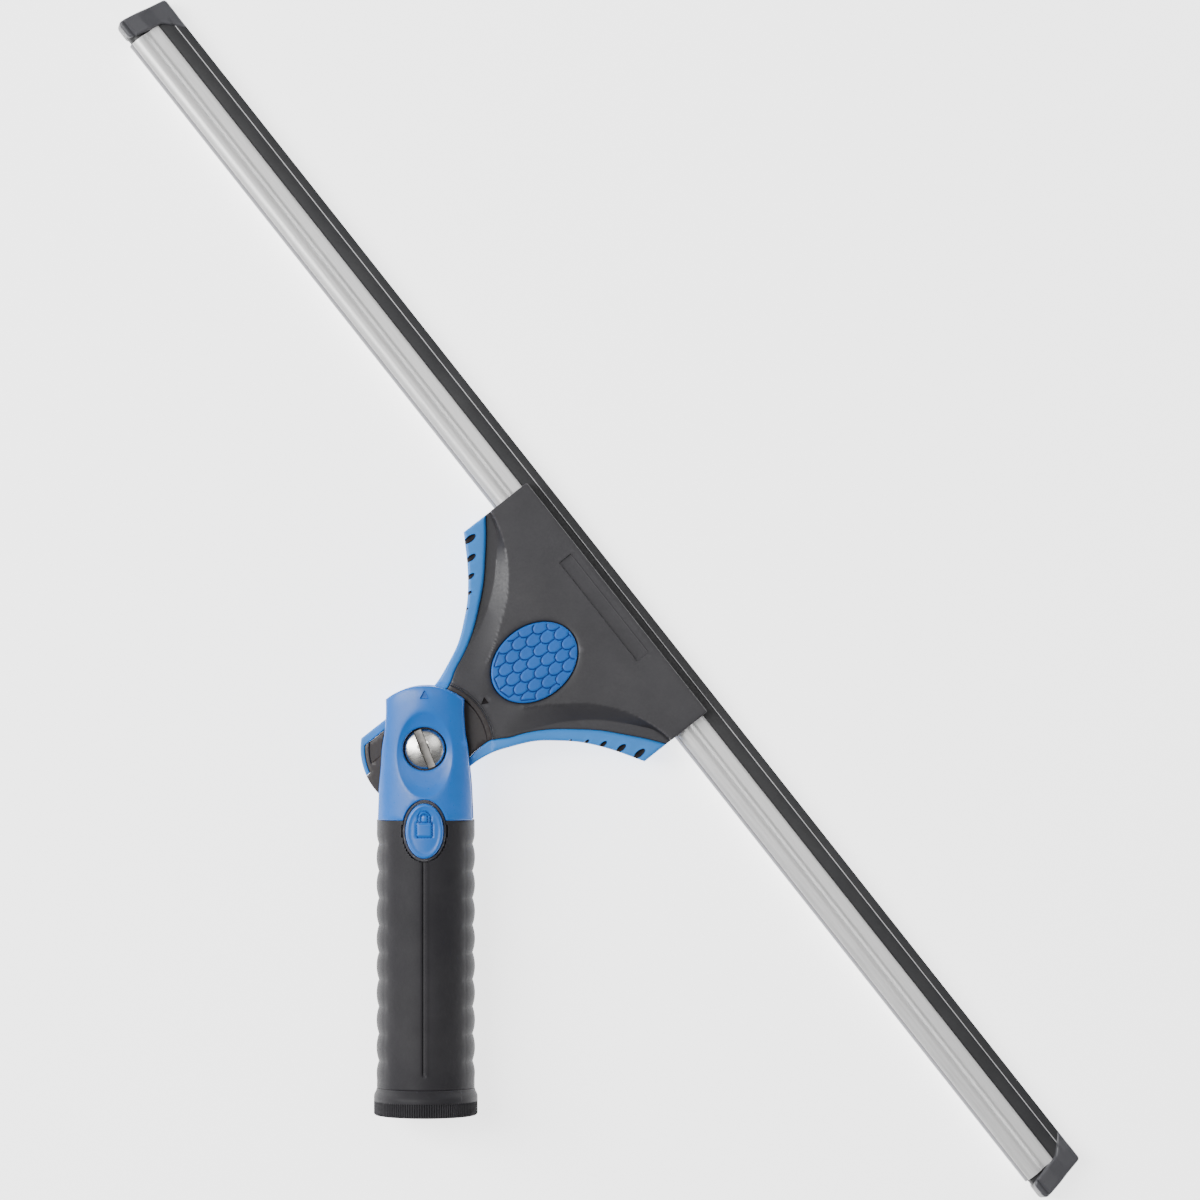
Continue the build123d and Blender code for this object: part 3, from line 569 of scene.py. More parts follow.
def flip(points):
    """The points mirrored to the other side, in reverse."""
    return [(-x, h) for x, h in reversed(list(points))]


def where_leaves(curve, radius):
    """The curve from the point where it leaves a circle about the pivot."""
    out = []
    for a, b in zip(curve, curve[1:]):
        ra, rb = math.hypot(*a), math.hypot(*b)
        if rb <= radius:
            continue
        if not out:
            t = max(0.0, (radius - ra) / (rb - ra))
            out.append(tuple(np.array(a) + (np.array(b) - np.array(a)) * t))
        out.append(tuple(b))
    return out


def cover_outline():
    """Black cover from the recess's arc up to the yoke's top."""
    side = where_leaves(spline([p for p in RIM if p[1] > 0]), RECESS)
    start = math.degrees(math.atan2(side[0][1], side[0][0]))
    low = arc(0, 0, RECESS, RECESS, 180 - start, start, 40)[1:-1]
    top = [(YOKE_HALF, YOKE_TOP), (-YOKE_HALF, YOKE_TOP)]
    corner = rounded([side[-1], *top, (-side[-1][0], side[-1][1])], [0, 0.8, 0.8, 0])
    loop = list(side[:-1]) + corner + flip(side[:-1]) + low
    return resample(loop, 0.8)


def bevel_fall(flat, depth):
    """The slope that falls from the plateau to the ledge beside the soft rim, on both sides."""
    mirrored = flat.copy()
    mirrored[:, 0] = np.abs(mirrored[:, 0])
    crest = spline(PLATEAU) + [(60.0, 61.0), (60.0, 90.0), (0.0, 90.0), (0.0, 31.6)]
    foot = spline(LEDGE) + [(60.0, 61.0), (60.0, 90.0), (0.0, 90.0), (0.0, 20.8)]
    outside = np.clip(signed(mirrored, crest), 0, None)
    within = np.clip(-signed(mirrored, foot), 0, None)
    share = outside / (outside + within + 1e-6)
    fade = np.clip((flat[:, 1] - 20.0) / 22.0, 0, 1) ** 0.8
    return depth * fade * share, outside * fade


def make_front_cover():
    """Black front cover: plateau, bevels, label panel, mark, and borders for the pad and the hub."""
    outline = cover_outline()
    region = Relief(outline, [resample(oval(*PAD[:2], PAD[2] + 0.1, PAD[3] + 0.1), 0.7)], 1.15)
    region.edge(0.5, 3)
    crest = resample(spline(PLATEAU), 0.9, closed=False)
    foot = resample(spline(LEDGE), 0.9, closed=False)
    for side in (1, -1):
        for curve, gaps in ((crest, (-0.9, -0.45, 0.0, 0.5, 1.1)), (foot, (-0.35, 0.0, 0.35))):
            for gap in gaps:
                line = curve.copy()
                line[:, 0] += gap * 0.62
                line[:, 1] -= gap * 0.78
                line[:, 0] *= side
                keep = inside(line, outline)
                region.line(line[keep], closed=False)
    label = rounded([(-19.4, 67.7), (19.4, 67.7), (19.4, 72.3), (-19.4, 72.3)], 0.25)
    region.feature(resample(label, 0.8), [(-0.45, -0.4), (-0.12, -0.32), (0.1, 0.0)])
    mark = resample(rounded([(-1.2, 24.0), (0.0, 21.9), (1.2, 24.0)], 0.1, 2), 0.2)
    region.feature(mark, [(-0.12, -0.5), (0.02, 0.0)])
    border = resample(oval(*PAD[:2], PAD[2] + 0.9, PAD[3] + 0.9), 0.7)
    region.feature(border, [(-0.8, -0.5), (-0.35, -0.18), (0.25, 0.0)])
    for rise in LIP_RISES[1:]:
        region.circle(RECESS + rise, 150)
    region.solve()
    flat, h = region.flat, region.flat[:, 1]
    fall, outside = bevel_fall(flat, 2.6)
    radius = np.hypot(flat[:, 0], h)
    ridge = np.interp(radius - RECESS, LIP_RISES, [0.0, 0.14, -0.14, -0.14, 0.08, 0.0])
    crease = -0.12 * np.exp(-(outside / 0.7) ** 2) * (outside > 0)
    top = front_plane(h, FRONT_W) - fall + region.carved() + ridge + crease - drop(region.border(), 0.4)
    bottom = front_plane(h, CORE_W)
    points, faces = region.solid(top, bottom)
    # The sunk triangle mark is coloured near-black: painted shade.
    index = signed(flat[region.faces].mean(1), mark) < 0
    piece("yoke_front_cover", points, faces, "head", "black_nylon",
          ["head_front_cover"], 40, index, ["painted_recess_shade"])


def make_back_cover():
    """Black back cover, with its screws' holes and a fan of sunk grooves."""
    sunk = 5.0 * math.sin(TILT)      # the screws stand square to the leaning blade plane
    holes = [resample(oval(x, y - sunk, 2.9, 2.9, 40), 0.45) for x, y in COVER_SCREWS]
    region = Relief(cover_outline(), holes, 1.4)
    region.edge(0.6, 3)
    for k in range(-3, 4):
        x = 10.4 * k
        low = 33.0 + abs(x) * 0.85
        groove = rounded([(x - 1.5, low), (x + 1.5, low), (x + 1.5, 68.0), (x - 1.5, 68.0)], 1.4)
        if low < 62:
            region.feature(resample(groove, 0.7), [(-0.6, -0.7), (-0.2, -0.55), (0.2, 0.0)])
    region.solve()
    flat, h = region.flat, region.flat[:, 1]
    fall, _ = bevel_fall(flat, 1.6)
    front = back_plane(h, CORE_W)
    back = back_plane(h, BACK_W) + fall - region.carved() + drop(region.border(), 0.6)
    points, faces = region.solid(front, back)
    piece("yoke_back_cover", points, faces, "head", "black_nylon",
          ["head_back_cover"], 40)


def cut_screw(x, h, low_w, radius, depth):
    """A countersunk screw head with a cross recess, facing back."""
    count = 48
    rings = [(0.55, 0.0), (0.8, 0.04), (0.93, 0.13), (1.0, 0.32), (1.0, 1.0)]
    points, faces = [], []
    for share, deep in rings:
        for k in range(count):
            a = 2 * math.pi * k / count
            points.append((share * radius * math.cos(a), share * radius * math.sin(a), -deep * depth))
    total = len(rings)
    for r in range(total - 1):
        for k in range(count):
            j = (k + 1) % count
            faces.append((r * count + k, (r + 1) * count + k, (r + 1) * count + j, r * count + j))
    faces.append(tuple((total - 1) * count + k for k in reversed(range(count))))
    inner = Relief(resample(oval(0, 0, 0.55 * radius, 0.55 * radius, count), 10), (), 0.35)
    arm, half = 0.46 * radius, 0.11 * radius
    cross = [(-arm, -half), (-half, -half), (-half, -arm), (half, -arm), (half, -half), (arm, -half),
             (arm, half), (half, half), (half, arm), (-half, arm), (-half, half), (-arm, half)]
    inner.feature(resample(cross, 0.25), [(-0.10, -0.45 * depth), (0.03, 0.0)])
    inner.solve()
    start = len(points)
    z = inner.carved()
    rim_gap = distance(inner.flat, inner.outer)
    for (px, py), pz, gap in zip(inner.flat, z, rim_gap):
        points.append((px, py, pz if gap > 1e-4 else 0.0))
    faces += [tuple(int(i) + start for i in f) for f in inner.faces]
    points = np.array(points)
    lean = TILT if h > BEND else 0.0
    mid_z = -(h - BEND) * math.tan(TILT)
    out = np.empty_like(points)
    out[:, 0] = x - points[:, 0]
    local_v = points[:, 1]
    local_w = -(low_w + points[:, 2])
    out[:, 1] = h + local_v * math.cos(lean) + local_w * math.sin(lean)
    out[:, 2] = mid_z - local_v * math.sin(lean) + local_w * math.cos(lean)
    return out, faces


def joined(parts):
    """Several point and face lists as one."""
    points, faces, start = [], [], 0
    for p, f in parts:
        points.append(np.asarray(p))
        faces += [tuple(int(i) + start for i in face) for face in f]
        start += len(p)
    return np.concatenate(points), faces


def make_head_screws():
    """The back cover's four screws."""
    points, faces = joined([cut_screw(x, h, 5.1, 2.6, 1.4) for x, h in COVER_SCREWS])
    piece("cover_screws", points, faces, "head", "screw_steel", ["head_screws"], 30)


def angle_at(x, radius):
    """Angle of the lower point of a circle about the pivot at x, degrees."""
    return math.degrees(math.atan2(-math.sqrt(radius ** 2 - x ** 2), x))


def rim_loop():
    """Outline of the soft rim's right side, from the hub's round end up to the yoke's side."""
    outer = spline(NECK)
    inner = spline(RIM)
    r_in = HUB_R - RIM_WRAP
    low_outer = arc(0, 0, HUB_R, HUB_R, angle_at(TONGUE, HUB_R), angle_at(outer[0][0], HUB_R), 26)
    low_inner = arc(0, 0, r_in, r_in, angle_at(inner[0][0], r_in), angle_at(TONGUE, r_in), 22)
    return low_outer + [tuple(p) for p in outer] + [tuple(p) for p in reversed(inner)] + low_inner


def make_rims():
    """Blue soft rims down both sides of the yoke and round the hub, each with five slots."""
    loop = resample(rim_loop(), 0.7)
    slots = ((42.2, 50.6, 4.2), (37.4, 47.2, 3.6), (33.0, 43.6, 2.8), (29.2, 40.1, 1.9),
             (25.8, 36.4, 1.2))      # place and length of each
    for side, name in ((1, "right"), (-1, "left")):
        shape = loop * np.array([side, 1.0])
        if side < 0:
            shape = shape[::-1]
        region = Relief(shape, (), 0.9)
        region.edge(1.0, 5)
        ovals = []
        for x, h, length in slots:
            r = 0.21 * length + 0.05
            line = [(side * x + px, h + py) for px, py in oval(0, 0, r, length / 2 + 0.1, 40)]
            ovals.append(resample(line, 0.3))
            region.feature(ovals[-1], [(-0.32, -0.8), (-0.12, -0.66), (0.08, 0.0)])
        for r in (13.4, 13.46):
            region.circle(r)
        region.solve()
        flat, h = region.flat, region.flat[:, 1]
        gap = region.border()
        radius = np.hypot(flat[:, 0], h)
        hub = np.clip((RECESS + 0.1 - radius) / 0.3, 0, 1)
        full = front_plane(h, RIM_W) - drop(gap, 1.0)
        low = np.minimum(5.0 - drop(gap, 0.5), full)
        top = full * (1 - hub) + low * hub + region.carved()
        top = np.where(radius < 13.43, np.minimum(top, 3.38), top)      # room for the lock pin
        back = back_plane(h, RIM_W) + drop(gap, 1.0)
        points, faces = region.solid(top, back)
        # The slots are coloured near-black: painted shade in the recesses.
        middles = flat[region.faces].mean(1)
        dark = np.zeros(len(middles), bool)
        for line in ovals:
            dark |= signed(middles, line) < -0.02
        piece("soft_rim_" + name, points, faces, "head", "blue_soft",
              ["head_rim_" + name], 42, dark, ["painted_recess_shade"])


def scale_lines():
    """The U-shaped grooves' centre lines, clipped to the pad."""
    lines = []
    pitch_x, pitch_y = 3.7, 4.05
    for row in range(-5, 6):
        for shift in range(-5, 6):
            cx = (shift + (row % 2) * 0.5) * pitch_x
            cy = PAD[1] + row * pitch_y
            rise = cy + 0.40 * pitch_y
            curve = [(cx - pitch_x / 2, rise), (cx - pitch_x / 2, rise - 0.2 * pitch_y)]
            for k in range(-8, 9):
                t = k / 8 * math.pi / 2
                px = cx + math.sin(t) * pitch_x / 2
                curve.append((px, cy - math.cos(t) ** 0.9 * 0.62 * pitch_y))
            curve += [(cx + pitch_x / 2, rise - 0.2 * pitch_y), (cx + pitch_x / 2, rise)]
            kept = [(px, py) for px, py in curve
                    if math.hypot((px - PAD[0]) / (PAD[2] - 0.5), (py - PAD[1]) / (PAD[3] - 0.5)) < 1]
            if len(kept) > 4:
                lines.append(np.array(kept))
    return lines


def make_thumb_pad():
    """Oval blue pad, crowned, with grooved scales."""
    outline = resample(oval(*PAD, 120), 0.5)
    region = Relief(outline, (), 0.42)
    region.edge(0.5, 3)
    lines = scale_lines()
    for line in lines:
        region.line(line, closed=False)
        ahead = np.gradient(line, axis=0)
        across = np.stack([-ahead[:, 1], ahead[:, 0]], 1) / np.linalg.norm(ahead, axis=1)[:, None]
        for gap in (-0.2, 0.2):
            region.line(line + across * gap, closed=False)
    region.solve()
    flat, h = region.flat, region.flat[:, 1]
    near = np.full(len(flat), 1e9)
    for line in lines:
        near = np.minimum(near, distance(flat, line, closed=False))
    groove = -0.30 * np.exp(-(near / 0.17) ** 2)
    crown = -0.25 * ((flat[:, 0] / PAD[2]) ** 2 + ((h - PAD[1]) / PAD[3]) ** 2)
    top = front_plane(h, 6.5) + groove + crown - drop(region.border(), 0.5)
    bottom = front_plane(h, 4.5)
    points, faces = region.solid(top, bottom)
    # The grooves between the scales are coloured darker blue: painted shade.
    index = near[region.faces].mean(1) < 0.15
    piece("thumb_pad_scales", points, faces, "head", "pad_blue", ["thumb_pad"], 60,
          index, ["painted_groove_shade"])


def make_hub():
    """Hub's face with its sunk panels, and the black tongue at its round end."""
    inner = spline(RIM)
    r_in = HUB_R - RIM_WRAP - 0.05
    tongue = TONGUE - 0.1
    kept = [(x - 0.06, y) for x, y in inner if math.hypot(x, y) < RECESS + 0.6]
    right = arc(0, 0, HUB_R, HUB_R, -90, angle_at(tongue, HUB_R), 8)
    right += arc(0, 0, r_in, r_in, angle_at(tongue, r_in), angle_at(kept[0][0], r_in), 24) + kept
    top_a = math.degrees(math.atan2(kept[-1][1], kept[-1][0]))
    r_top = math.hypot(*kept[-1])
    top = arc(0, 0, r_top, r_top, top_a, 90, 20)[1:]
    half = right[1:] + top
    loop = resample(half + flip(half)[1:] + [right[0]], 0.7)
    hole = resample(oval(0, 0, 4.6, 4.6, 64), 0.6)
    region = Relief(loop, [hole], 1.0)
    region.edge(0.3, 2)
    panel = arc(0, 0, 19.3, 19.3, 20, 160, 56)
    wedge = panel + [(-9.0, 0.6), (9.0, 0.6)]
    for line in (wedge, arc(0, 0, 17.4, 17.4, 200, 248, 24) + [(-6.8, -7.5), (-9.0, -3.5)]):
        region.feature(resample(rounded(line, 0.4, 2), 0.7), [(-0.3, -0.45), (0.1, 0.0)])
    for radius in (8.8, 8.86, 13.44, 13.5):
        region.circle(radius)
    region.solve()
    radius = np.hypot(region.flat[:, 0], region.flat[:, 1])
    pocket = np.interp(radius, [8.8, 8.86, 13.44, 13.5], [0.0, -1.6, -1.6, 0.0])
    carved = np.where(pocket < -0.01, 0.0, region.carved())
    top_z = 4.98 + pocket + carved - drop(region.border(), 0.3)
    bottom_z = -4.98 + drop(region.border(), 0.3)
    hub = region.solid(top_z, bottom_z)
    plate = Relief(resample(cover_outline(), 2.0), (), 4.0)
    plate.solve()
    h = plate.flat[:, 1]
    middle = plate.solid(front_plane(h, 1.97), back_plane(h, 1.97))
    points, faces = joined([hub, middle])
    piece("hub_and_plate", points, faces, "head", "hub_nylon", ["head_core"], 40)


# ======================= blade =======================

def blade_place(x, v, w):
    """A point of the blade: along its length, up its plane, out of its plane."""
    return np.column_stack([
        x, BEND + v * math.cos(TILT) + w * math.sin(TILT), w * math.cos(TILT) - v * math.sin(TILT)])


def up_plane(h, w=0.0):
    """Place up the blade's plane of a height above the pivot."""
    return (h - BEND - w * math.sin(TILT)) / math.cos(TILT)


TUBE_V, TUBE_R, SHEET = up_plane(65.85), 3.55, 0.7
FLANGE_V, FLANGE_W = up_plane(73.4, 2.0), 2.0
STEP_V, LIP_V = up_plane(77.5, 1.6), up_plane(80.0, 1.6)
BLADE_MID = -3.4
BLADE_LONG = 458.0


def run_along_blade(section, short, near, far, count):
    """A closed cross-section run along the blade, and each side face's two places on the section."""
    long = BLADE_LONG - short
    low, high = BLADE_MID - long / 2, BLADE_MID + long / 2
    middle = np.linspace(low + far, high - far, count)
    xs = np.concatenate([[low, low + near], middle, [high - near, high]])
    flat = np.array(section, float)
    total = len(flat)
    points = np.concatenate([blade_place(np.full(total, x), flat[:, 0], flat[:, 1]) for x in xs])
    faces = []
    for r in range(len(xs) - 1):
        for k in range(total):
            j = (k + 1) % total
            faces.append((r * total + k, r * total + j, (r + 1) * total + j, (r + 1) * total + k))
    edges = [(i, (i + 1) % total) for i in range(total)]
    verts, _, triangles, _, _, _ = delaunay_2d_cdt([Vector(p) for p in flat], edges, [], 0, 1e-6)
    for t in triangles:
        middle = np.array([np.mean([tuple(verts[i]) for i in t], 0)])
        if max(t) < total and inside(middle, flat)[0]:
            faces.append(tuple(reversed(t)))
            faces.append(tuple(i + (len(xs) - 1) * total for i in t))
    places = flat[np.array([[i % total for i in face[:2]] for face in faces])]
    return points, faces, places


def make_channel():
    """Rolled steel channel: a tube with its two leaves folded out over the rubber's web."""
    half_gap = 1.28
    bore = TUBE_R - SHEET
    join = math.degrees(math.asin(FLANGE_W / TUBE_R)) + 6
    stop = math.degrees(math.asin(half_gap / bore))
    low_leaf = [(TUBE_V + 3.6, -FLANGE_W + 0.147), (TUBE_V + 4.2, -FLANGE_W + 0.12),
                (FLANGE_V - 1.2, -FLANGE_W), (FLANGE_V - 0.5, -FLANGE_W),
                (FLANGE_V - 0.12, -FLANGE_W + 0.12), (FLANGE_V, -FLANGE_W + 0.36),
                (FLANGE_V - 0.12, -half_gap - 0.06), (FLANGE_V - 0.4, -half_gap)]
    mouth = TUBE_V + bore + 0.2
    section = arc(TUBE_V, 0, TUBE_R, TUBE_R, join, 360 - join, 44) + low_leaf + [(mouth, -half_gap)]
    section += arc(TUBE_V, 0, bore, bore, 360 - stop, stop, 36) + [(mouth, half_gap)]
    section += [(v, -w) for v, w in reversed(low_leaf)]
    points, faces, places = run_along_blade(section, 10.0, 0.25, 1.2, 60)
    # The tube's back, towards the handle, is coloured darker steel: a painted dark reflection.
    back = places[:, :, 0].mean(1) < TUBE_V - TUBE_R * math.cos(math.radians(38))
    piece("channel_rail", points, faces, "head", "channel_steel", ["channel"], 38,
          back, ["painted_reflection_steel"])


def make_rubber():
    """Rubber strip: bead and web inside the channel, then the band with its step and wiping edges."""
    web, lip = 1.15, 1.6
    bead = TUBE_R - SHEET - 0.05
    half = [(TUBE_V + bead + 0.3, -web), (FLANGE_V + 0.4, -web), (FLANGE_V + 0.7, -web - 0.04),
            (STEP_V - 1.9, -web - 0.12), (STEP_V - 0.42, -web), (STEP_V - 0.14, -lip + 0.16),
            (STEP_V + 0.06, -lip), (STEP_V + 0.5, -lip), (LIP_V - 0.22, -lip),
            (LIP_V - 0.05, -lip + 0.05), (LIP_V, -lip + 0.22)]
    section = arc(TUBE_V, 0, bead, bead, 24, 336, 30) + half + [(v, -w) for v, w in reversed(half)]
    points, faces, places = run_along_blade(section, 4.4, 0.3, 2.9, 90)
    # The step's rounded edge is coloured pale along the whole strip: a painted highlight.
    v, w = places[:, :, 0], np.abs(places[:, :, 1])
    edge = (v > STEP_V - 0.3).all(1) & (v < STEP_V + 0.1).all(1) & (w > lip - 0.2).all(1)
    piece("rubber_strip", points, faces, "head", "blade_rubber", ["rubber_blade"], 38,
          edge, ["painted_step_highlight"])


def make_end_caps():
    """Caps over the blade's ends: splayed, with a foot past the tube and a rim over the rubber."""
    foot_v, top_v = up_plane(63.2), LIP_V
    for side, name in ((-1, "left"), (1, "right")):
        tip = BLADE_MID + side * BLADE_LONG / 2
        inner = tip - side * 5.0
        lean = side * 2.9
        profile = [(tip + lean, foot_v), (tip, top_v), (inner - side * 6.4, top_v),
                   (inner - side * 3.6, STEP_V + 0.12), (inner - side * 0.5, FLANGE_V + 1.2),
                   (inner + side * 1.0, foot_v + 2.2), (inner + side * 1.9, foot_v)]
        radii = [2.0, 1.1, 0.4, 2.6, 1.2, 1.4, 1.6]
        loop = rounded(profile, radii, 7)
        if side < 0:
            loop = loop[::-1]
        outline = resample(loop, 0.35)
        region = Relief(outline, (), 0.6)
        region.edge(0.7, 4)
        for dv in (-0.5, 0.0, 0.6):
            xs = np.linspace(min(inner, tip + lean), max(inner, tip + lean), 18)
            line = np.column_stack([xs, np.full(18, foot_v + 1.9 + dv)])
            region.line(line[inside(line, outline)], closed=False)
        region.solve()
        x, v = region.flat[:, 0], region.flat[:, 1]
        levels = [foot_v, foot_v + 1.3, foot_v + 1.9, foot_v + 2.5,
                  TUBE_V + TUBE_R + 0.6, FLANGE_V + 1.0, LIP_V]
        thick = np.interp(v, levels, [3.7, 3.85, 3.5, 4.15, 4.2, 2.9, 2.4])
        reach = np.clip((side * (inner - x)) / 3.0, 0, 1)
        thick = np.where(v > STEP_V - 0.6, thick - 0.55 * reach, thick)
        top = thick - drop(region.border(), 0.7)
        points, faces = region.solid(top, -top)
        placed = blade_place(*points.T)
        piece("end_cap_" + name + "_shell", placed, faces, "head", "cap_plastic",
              ["end_cap_" + name], 40)


# ======================= handle =======================

CROWN = 14.0                        # crown of the front and back faces
CROWN_X = 17.0                      # half width at which the crown would end
BUTTON = (0.0, -25.1, 5.8, 8.45)    # centre and half sizes
SHELL_TOP = 19.4                    # radius of the fork's round end
GRIP_TOP = -21.9                    # where the grip starts
HALF_TOP = 12.05                    # half width where the round end starts
SHELL_LOW = 6.02                    # inner face of each shell
SHELL_SCREWS = [(8.2, -16.9), (-8.2, -16.9)]


def crown_height(x, crown=CROWN, half=CROWN_X):
    """Height of a crowned face across its width."""
    return crown * np.sqrt(np.clip(1 - (x / half) ** 2, 0.02, 1))


def end_fall(x, y):
    """How far the shells' round end falls below the crown."""
    return 0.35 * (np.clip((np.hypot(x, y) - 15.5) / 3.9, 0, 1) * (y > 0)) ** 2


def fork_outline():
    """Fork seen from the front: straight at the grip, waisted, with a round end."""
    side_y = math.sqrt(SHELL_TOP ** 2 - HALF_TOP ** 2)
    right = spline([(14.6, GRIP_TOP), (14.15, -12.0), (13.6, -5.9), (13.2, 0.0), (12.4, 5.0),
                    (12.0, 0.6 * side_y + 1.2), (HALF_TOP - 0.05, side_y - 1.2), (HALF_TOP, side_y)], 8)
    start = math.degrees(math.atan2(side_y, HALF_TOP))
    top = arc(0, 0, SHELL_TOP, SHELL_TOP, start, 180 - start, 40)
    side = [tuple(p) for p in right[:-1]]
    return side + top + flip(side)


def make_fork_shells():
    """Blue front and back shells round the hub."""
    outline = resample(fork_outline(), 0.6)
    # The front shell: crown, dish round the screw, the button's opening and the arrow mark.
    opening = oval(0, BUTTON[1], BUTTON[2] + 1.15, BUTTON[3] + 1.15, 120)
    opening = [(x, y) for x, y in opening if y > GRIP_TOP + 0.05]
    opening.sort(key=lambda p: -p[0])
    base = [p for p in outline if p[1] > GRIP_TOP + 1e-6]
    edge_x = opening[0][0]
    low_right = resample([(edge_x, GRIP_TOP), (14.6, GRIP_TOP)], 0.6, closed=False)
    low_left = resample([(-14.6, GRIP_TOP), (-edge_x, GRIP_TOP)], 0.6, closed=False)
    loop = [tuple(p) for p in low_right] + [tuple(p) for p in base] + [tuple(p) for p in low_left]
    loop += list(reversed(opening))
    shape = np.array(loop)
    gap = np.linalg.norm(np.roll(shape, -1, 0) - shape, axis=1)
    shape = shape[gap > 0.02]
    hole = resample(oval(0, 0, 6.7, 6.7, 96), 0.4)
    region = Relief(shape, [hole], 0.95)
    region.edge(0.45, 3)
    for share in (0.8, 0.9, 0.97, 1.0, 1.03, 1.1):
        ring = np.array(oval(0, -1.7, 8.5 * share, 13.1 * share, 90))
        region.line(ring, keep=inside(ring, shape) & ~inside(ring, hole))
    arrow = resample(rounded([(-1.5, 15.4), (1.5, 15.4), (0.0, 18.2)], 0.1, 2), 0.2)
    region.feature(arrow, [(-0.25, -0.45), (0.02, 0.0)])
    region.solve()
    x, y = region.flat[:, 0], region.flat[:, 1]
    reach = np.sqrt((x / 8.5) ** 2 + ((y + 1.7) / 13.1) ** 2)
    dish = np.interp(reach, [0.0, 0.5, 0.78, 0.93, 1.0, 1.05, 1.15],
                     [-2.6, -2.1, -1.35, -0.62, -0.16, -0.04, 0.0])
    top = crown_height(x) + dish + region.carved() - drop(region.border(), 0.45) - end_fall(x, y)
    points, faces = region.solid(top, np.full(len(x), SHELL_LOW))
    index = inside(region.flat[region.faces].mean(1), arrow)
    piece("fork_shell_front", points, faces, "handle", "blue_plastic",
          ["fork_front_shell"], 40, index, ["pad_blue"])
    # The back shell: crown, the nut's pocket and two screw holes.
    corner_r = 5.2 / math.cos(math.pi / 6)
    holes = [resample(oval(0, 0, corner_r, corner_r, 6), 0.5)]
    holes += [resample(oval(*spot, 2.7, 2.7, 40), 0.4) for spot in SHELL_SCREWS]
    region = Relief(outline, holes, 1.15)
    region.edge(0.6, 3)
    for k in range(3):
        low, high = 10.2 + 2.1 * k, 11.2 + 2.1 * k
        bar = rounded([(-5.5, low), (5.5, low), (5.5, high), (-5.5, high)], 0.45)
        region.feature(resample(bar, 0.5), [(-0.4, -0.5), (0.1, 0.0)])
    region.solve()
    x, y = region.flat[:, 0], region.flat[:, 1]
    depth = crown_height(x) + region.carved() - drop(region.border(), 0.6) - end_fall(x, y)
    points, faces = region.solid(np.full(len(x), -SHELL_LOW), -depth)
    piece("fork_shell_back", points, faces, "handle", "blue_plastic",
          ["fork_back_shell"], 40)


def make_screw():
    """Slotted pan head, domed, with a fine turned edge."""
    radius, head_low, height = 6.15, 9.4, 2.4
    outline = resample(oval(0, 0, radius, radius, 140), 10)
    region = Relief(outline, (), 0.5)
    region.edge(1.0, 6)
    turn = math.radians(21.8)
    c, s = math.cos(turn), math.sin(turn)
    slot = [(-1.3, -8), (1.3, -8), (1.3, 8), (-1.3, 8)]
    dense = resample([(c * x - s * y, s * x + c * y) for x, y in slot], 0.35)
    for gap in (-0.2, 0.0, 0.05, 0.22):
        moved, _ = offset_ring(dense, -gap)
        region.line(moved, keep=inside(moved, outline))
    region.solve()
    x, y = region.flat[:, 0], region.flat[:, 1]
    reach = np.hypot(x, y) / radius
    across = np.abs(c * x + s * y)
    cut = np.interp(across, [0, 0.9, 1.1, 1.3, 1.35, 1.52], [-1.75, -1.72, -1.7, -1.5, -0.15, 0.6])
    top = head_low + height + 0.5 - 1.15 * reach ** 2 - drop(region.border(), 1.0) * 0.8
    top = np.minimum(top, head_low + height + 0.45 + cut)
    points, faces = region.solid(np.maximum(top, head_low + 0.2), np.full(len(x), head_low))
    # The slot's floor and walls are coloured darker steel: painted shade.
    index = across[region.faces].mean(1) < 1.27
    piece("pivot_screw_head", points, faces, "handle", "screw_steel",
          ["pivot_screw"], 32, index, ["painted_slot_shade_steel"])
    well = Relief(resample(oval(0, 0, 6.1, 6.1, 96), 10), [resample(oval(0, 0, 3.1, 3.1, 48), 10)], 0.8)
    well.solve()
    count = len(well.flat)
    points, faces = well.solid(np.full(count, 9.38), np.full(count, 8.62))
    piece("screw_seat", points, faces, "handle", "fastener_steel",
          ["screw_washer"], 32)


